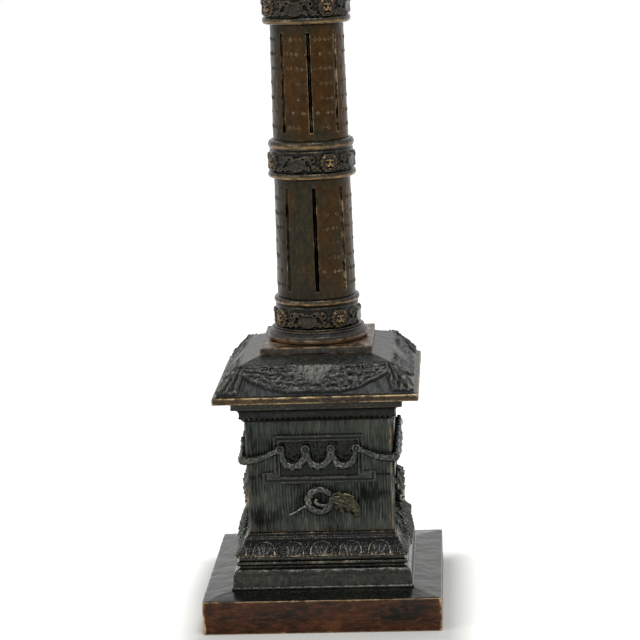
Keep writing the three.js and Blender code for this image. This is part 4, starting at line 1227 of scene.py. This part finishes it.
SIDE_HOLLOW, CORNER_SUM = 4.1, 49.4
ABACUS = hollow(ROD_HOLE, (25.2, 403), (26, 404.2), (26, 406.4), (25.4, 408))
abacus = squared(dense(eased(ABACUS, 0.4), 0.6, ROD_HOLE), 90)
for vert in abacus.verts:
    x, y, z = vert.co
    half = max(abs(x), abs(y))
    if half > 10:
        share = min(abs(x), abs(y)) / half
        inward = SIDE_HOLLOW * (1 - share ** 2) * smooth(10, 25, half)
        side = Vector((math.copysign(1, x), 0)) if abs(x) > abs(y) else Vector((0, math.copysign(1, y)))
        vert.co.xy -= side * inward
        clip = abs(vert.co.x) + abs(vert.co.y) - CORNER_SUM
        if clip > 0:
            vert.co.x -= math.copysign(clip / 2, x)
            vert.co.y -= math.copysign(clip / 2, y)
weather(abacus, 0.08, 6)
for number in range(4):
    add_to(abacus, turned(facing_front(rosette(), 0, -21.4, 405.4), number * QUARTER))
cast(abacus, "abacus", brown, "column_bronze")


# Drip pan, candle cup and bobeche: turned and chased. The pan's rim is beaded, the cup is gadrooned over its foot,
# and the bobeche drops into the cup by its skirt and lifts out to be cleaned.

BEADS, GADROONS = 60, 16
PAN = hollow(
    ROD_HOLE, (19, 408), (21, 408.8), (32, 410.2), (35.2, 412.6), (36.6, 414), (37.1, 415), (36.6, 415.9),
    (35.6, 416), (34.6, 415.2), (31, 412.5), (19, 410.5), (15, 411)
)
pan = spun(dense(eased(PAN, 0.35), 0.6, ROD_HOLE), 60, 5)
for vert in pan.verts:
    reach, azimuth = polar(vert.co)
    if reach > 35 and vert.co.z > 413:
        vert.co.z -= 0.25 * (0.5 + 0.5 * math.cos(BEADS * azimuth)) * smooth(35, 36, reach)
weather(pan, 0.08, 8)
cast(pan, "drip_pan", brown, "column_bronze")

CUP = [
    (0, 411), (13.4, 411), (13.4, 412.4), (10.2, 414.2), (9.2, 416.4), (12.6, 418.6), (17, 421.4), (18.8, 425.6),
    (18.4, 431), (17.6, 438), (17.9, 442), (19.6, 443.6), (19.6, 446), (16.2, 446), (16.2, 423), (0, 423),
]
cup = spun(dense(eased(CUP, 0.4), 0.6), 48, 3)
for vert in cup.verts:
    reach, azimuth = polar(vert.co)
    if 417 < vert.co.z < 427.5 and reach > 10:
        lobe = abs(math.sin(GADROONS / 2 * azimuth)) ** 0.6
        vert.co.xy *= 1 - 0.05 * (1 - lobe) * smooth(417, 419.5, vert.co.z) * (1 - smooth(424.5, 427.5, vert.co.z))
weather(cup, 0.06, 8)
cast(cup, "candle_cup", brown, "column_bronze")

BOBECHE = hollow(
    14.6, (15.8, 437), (15.8, 446), (22, 446), (26, 447.9), (27, 448.4), (27.3, 449.1), (26.6, 449.8),
    (25.4, 449.4), (21.6, 447.7), (17, 447.6), (15.8, 448.6)
)
bobeche = spun(dense(eased(BOBECHE, 0.3), 0.6), 48, 3)
cast(bobeche, "bobeche", brown, "column_bronze", body="bobeche")


# Tie rod, washer plate and nut: plain steel, dulled. The rod runs from under the slab up into the candle cup.

steel = patina("dull_steel", (0.16, 0.16, 0.155), (0.24, 0.22, 0.2), (0.4, 0.4, 0.4), metal=1)
ROD_RADIUS, ROD_FOOT, ROD_TOP = 3.4, 2.6, 418
THREAD_ROOT, THREAD_TOP, THREAD_PITCH = 2.9, 14.0, 1.0
rod_section = [(0, ROD_FOOT), (THREAD_ROOT, ROD_FOOT)]
while rod_section[-1][1] < THREAD_TOP:
    height = rod_section[-1][1]
    rod_section += [(ROD_RADIUS, height + THREAD_PITCH / 2), (THREAD_ROOT, height + THREAD_PITCH)]
rod = spun(rod_section + [(ROD_RADIUS, THREAD_TOP + 1.2), (ROD_RADIUS, ROD_TOP), (0, ROD_TOP)], 24)
cast(rod, "tie_rod", steel, "steel")

washer = squared(eased(hollow(ROD_HOLE, (15, 11.6), (15, 13.2)), 0.3), 6)
cast(washer, "washer_plate", steel, "steel")

NUT_RADIUS, NUT_FOOT, NUT_HIGH = 7.4, 5.6, 6
nut = bmesh.new()
bmesh.ops.create_circle(nut, segments=6, radius=NUT_RADIUS, cap_ends=True)
bmesh.ops.translate(nut, verts=nut.verts, vec=(0, 0, NUT_FOOT))
raised = bmesh.ops.extrude_face_region(nut, geom=nut.faces[:])
bmesh.ops.translate(nut, vec=(0, 0, NUT_HIGH), verts=[v for v in raised["geom"] if isinstance(v, bmesh.types.BMVert)])
bmesh.ops.bevel(nut, geom=nut.edges[:], offset=0.5, segments=2, profile=0.5, affect="EDGES", material=-1)
cast(nut, "rod_nut", steel, "steel")
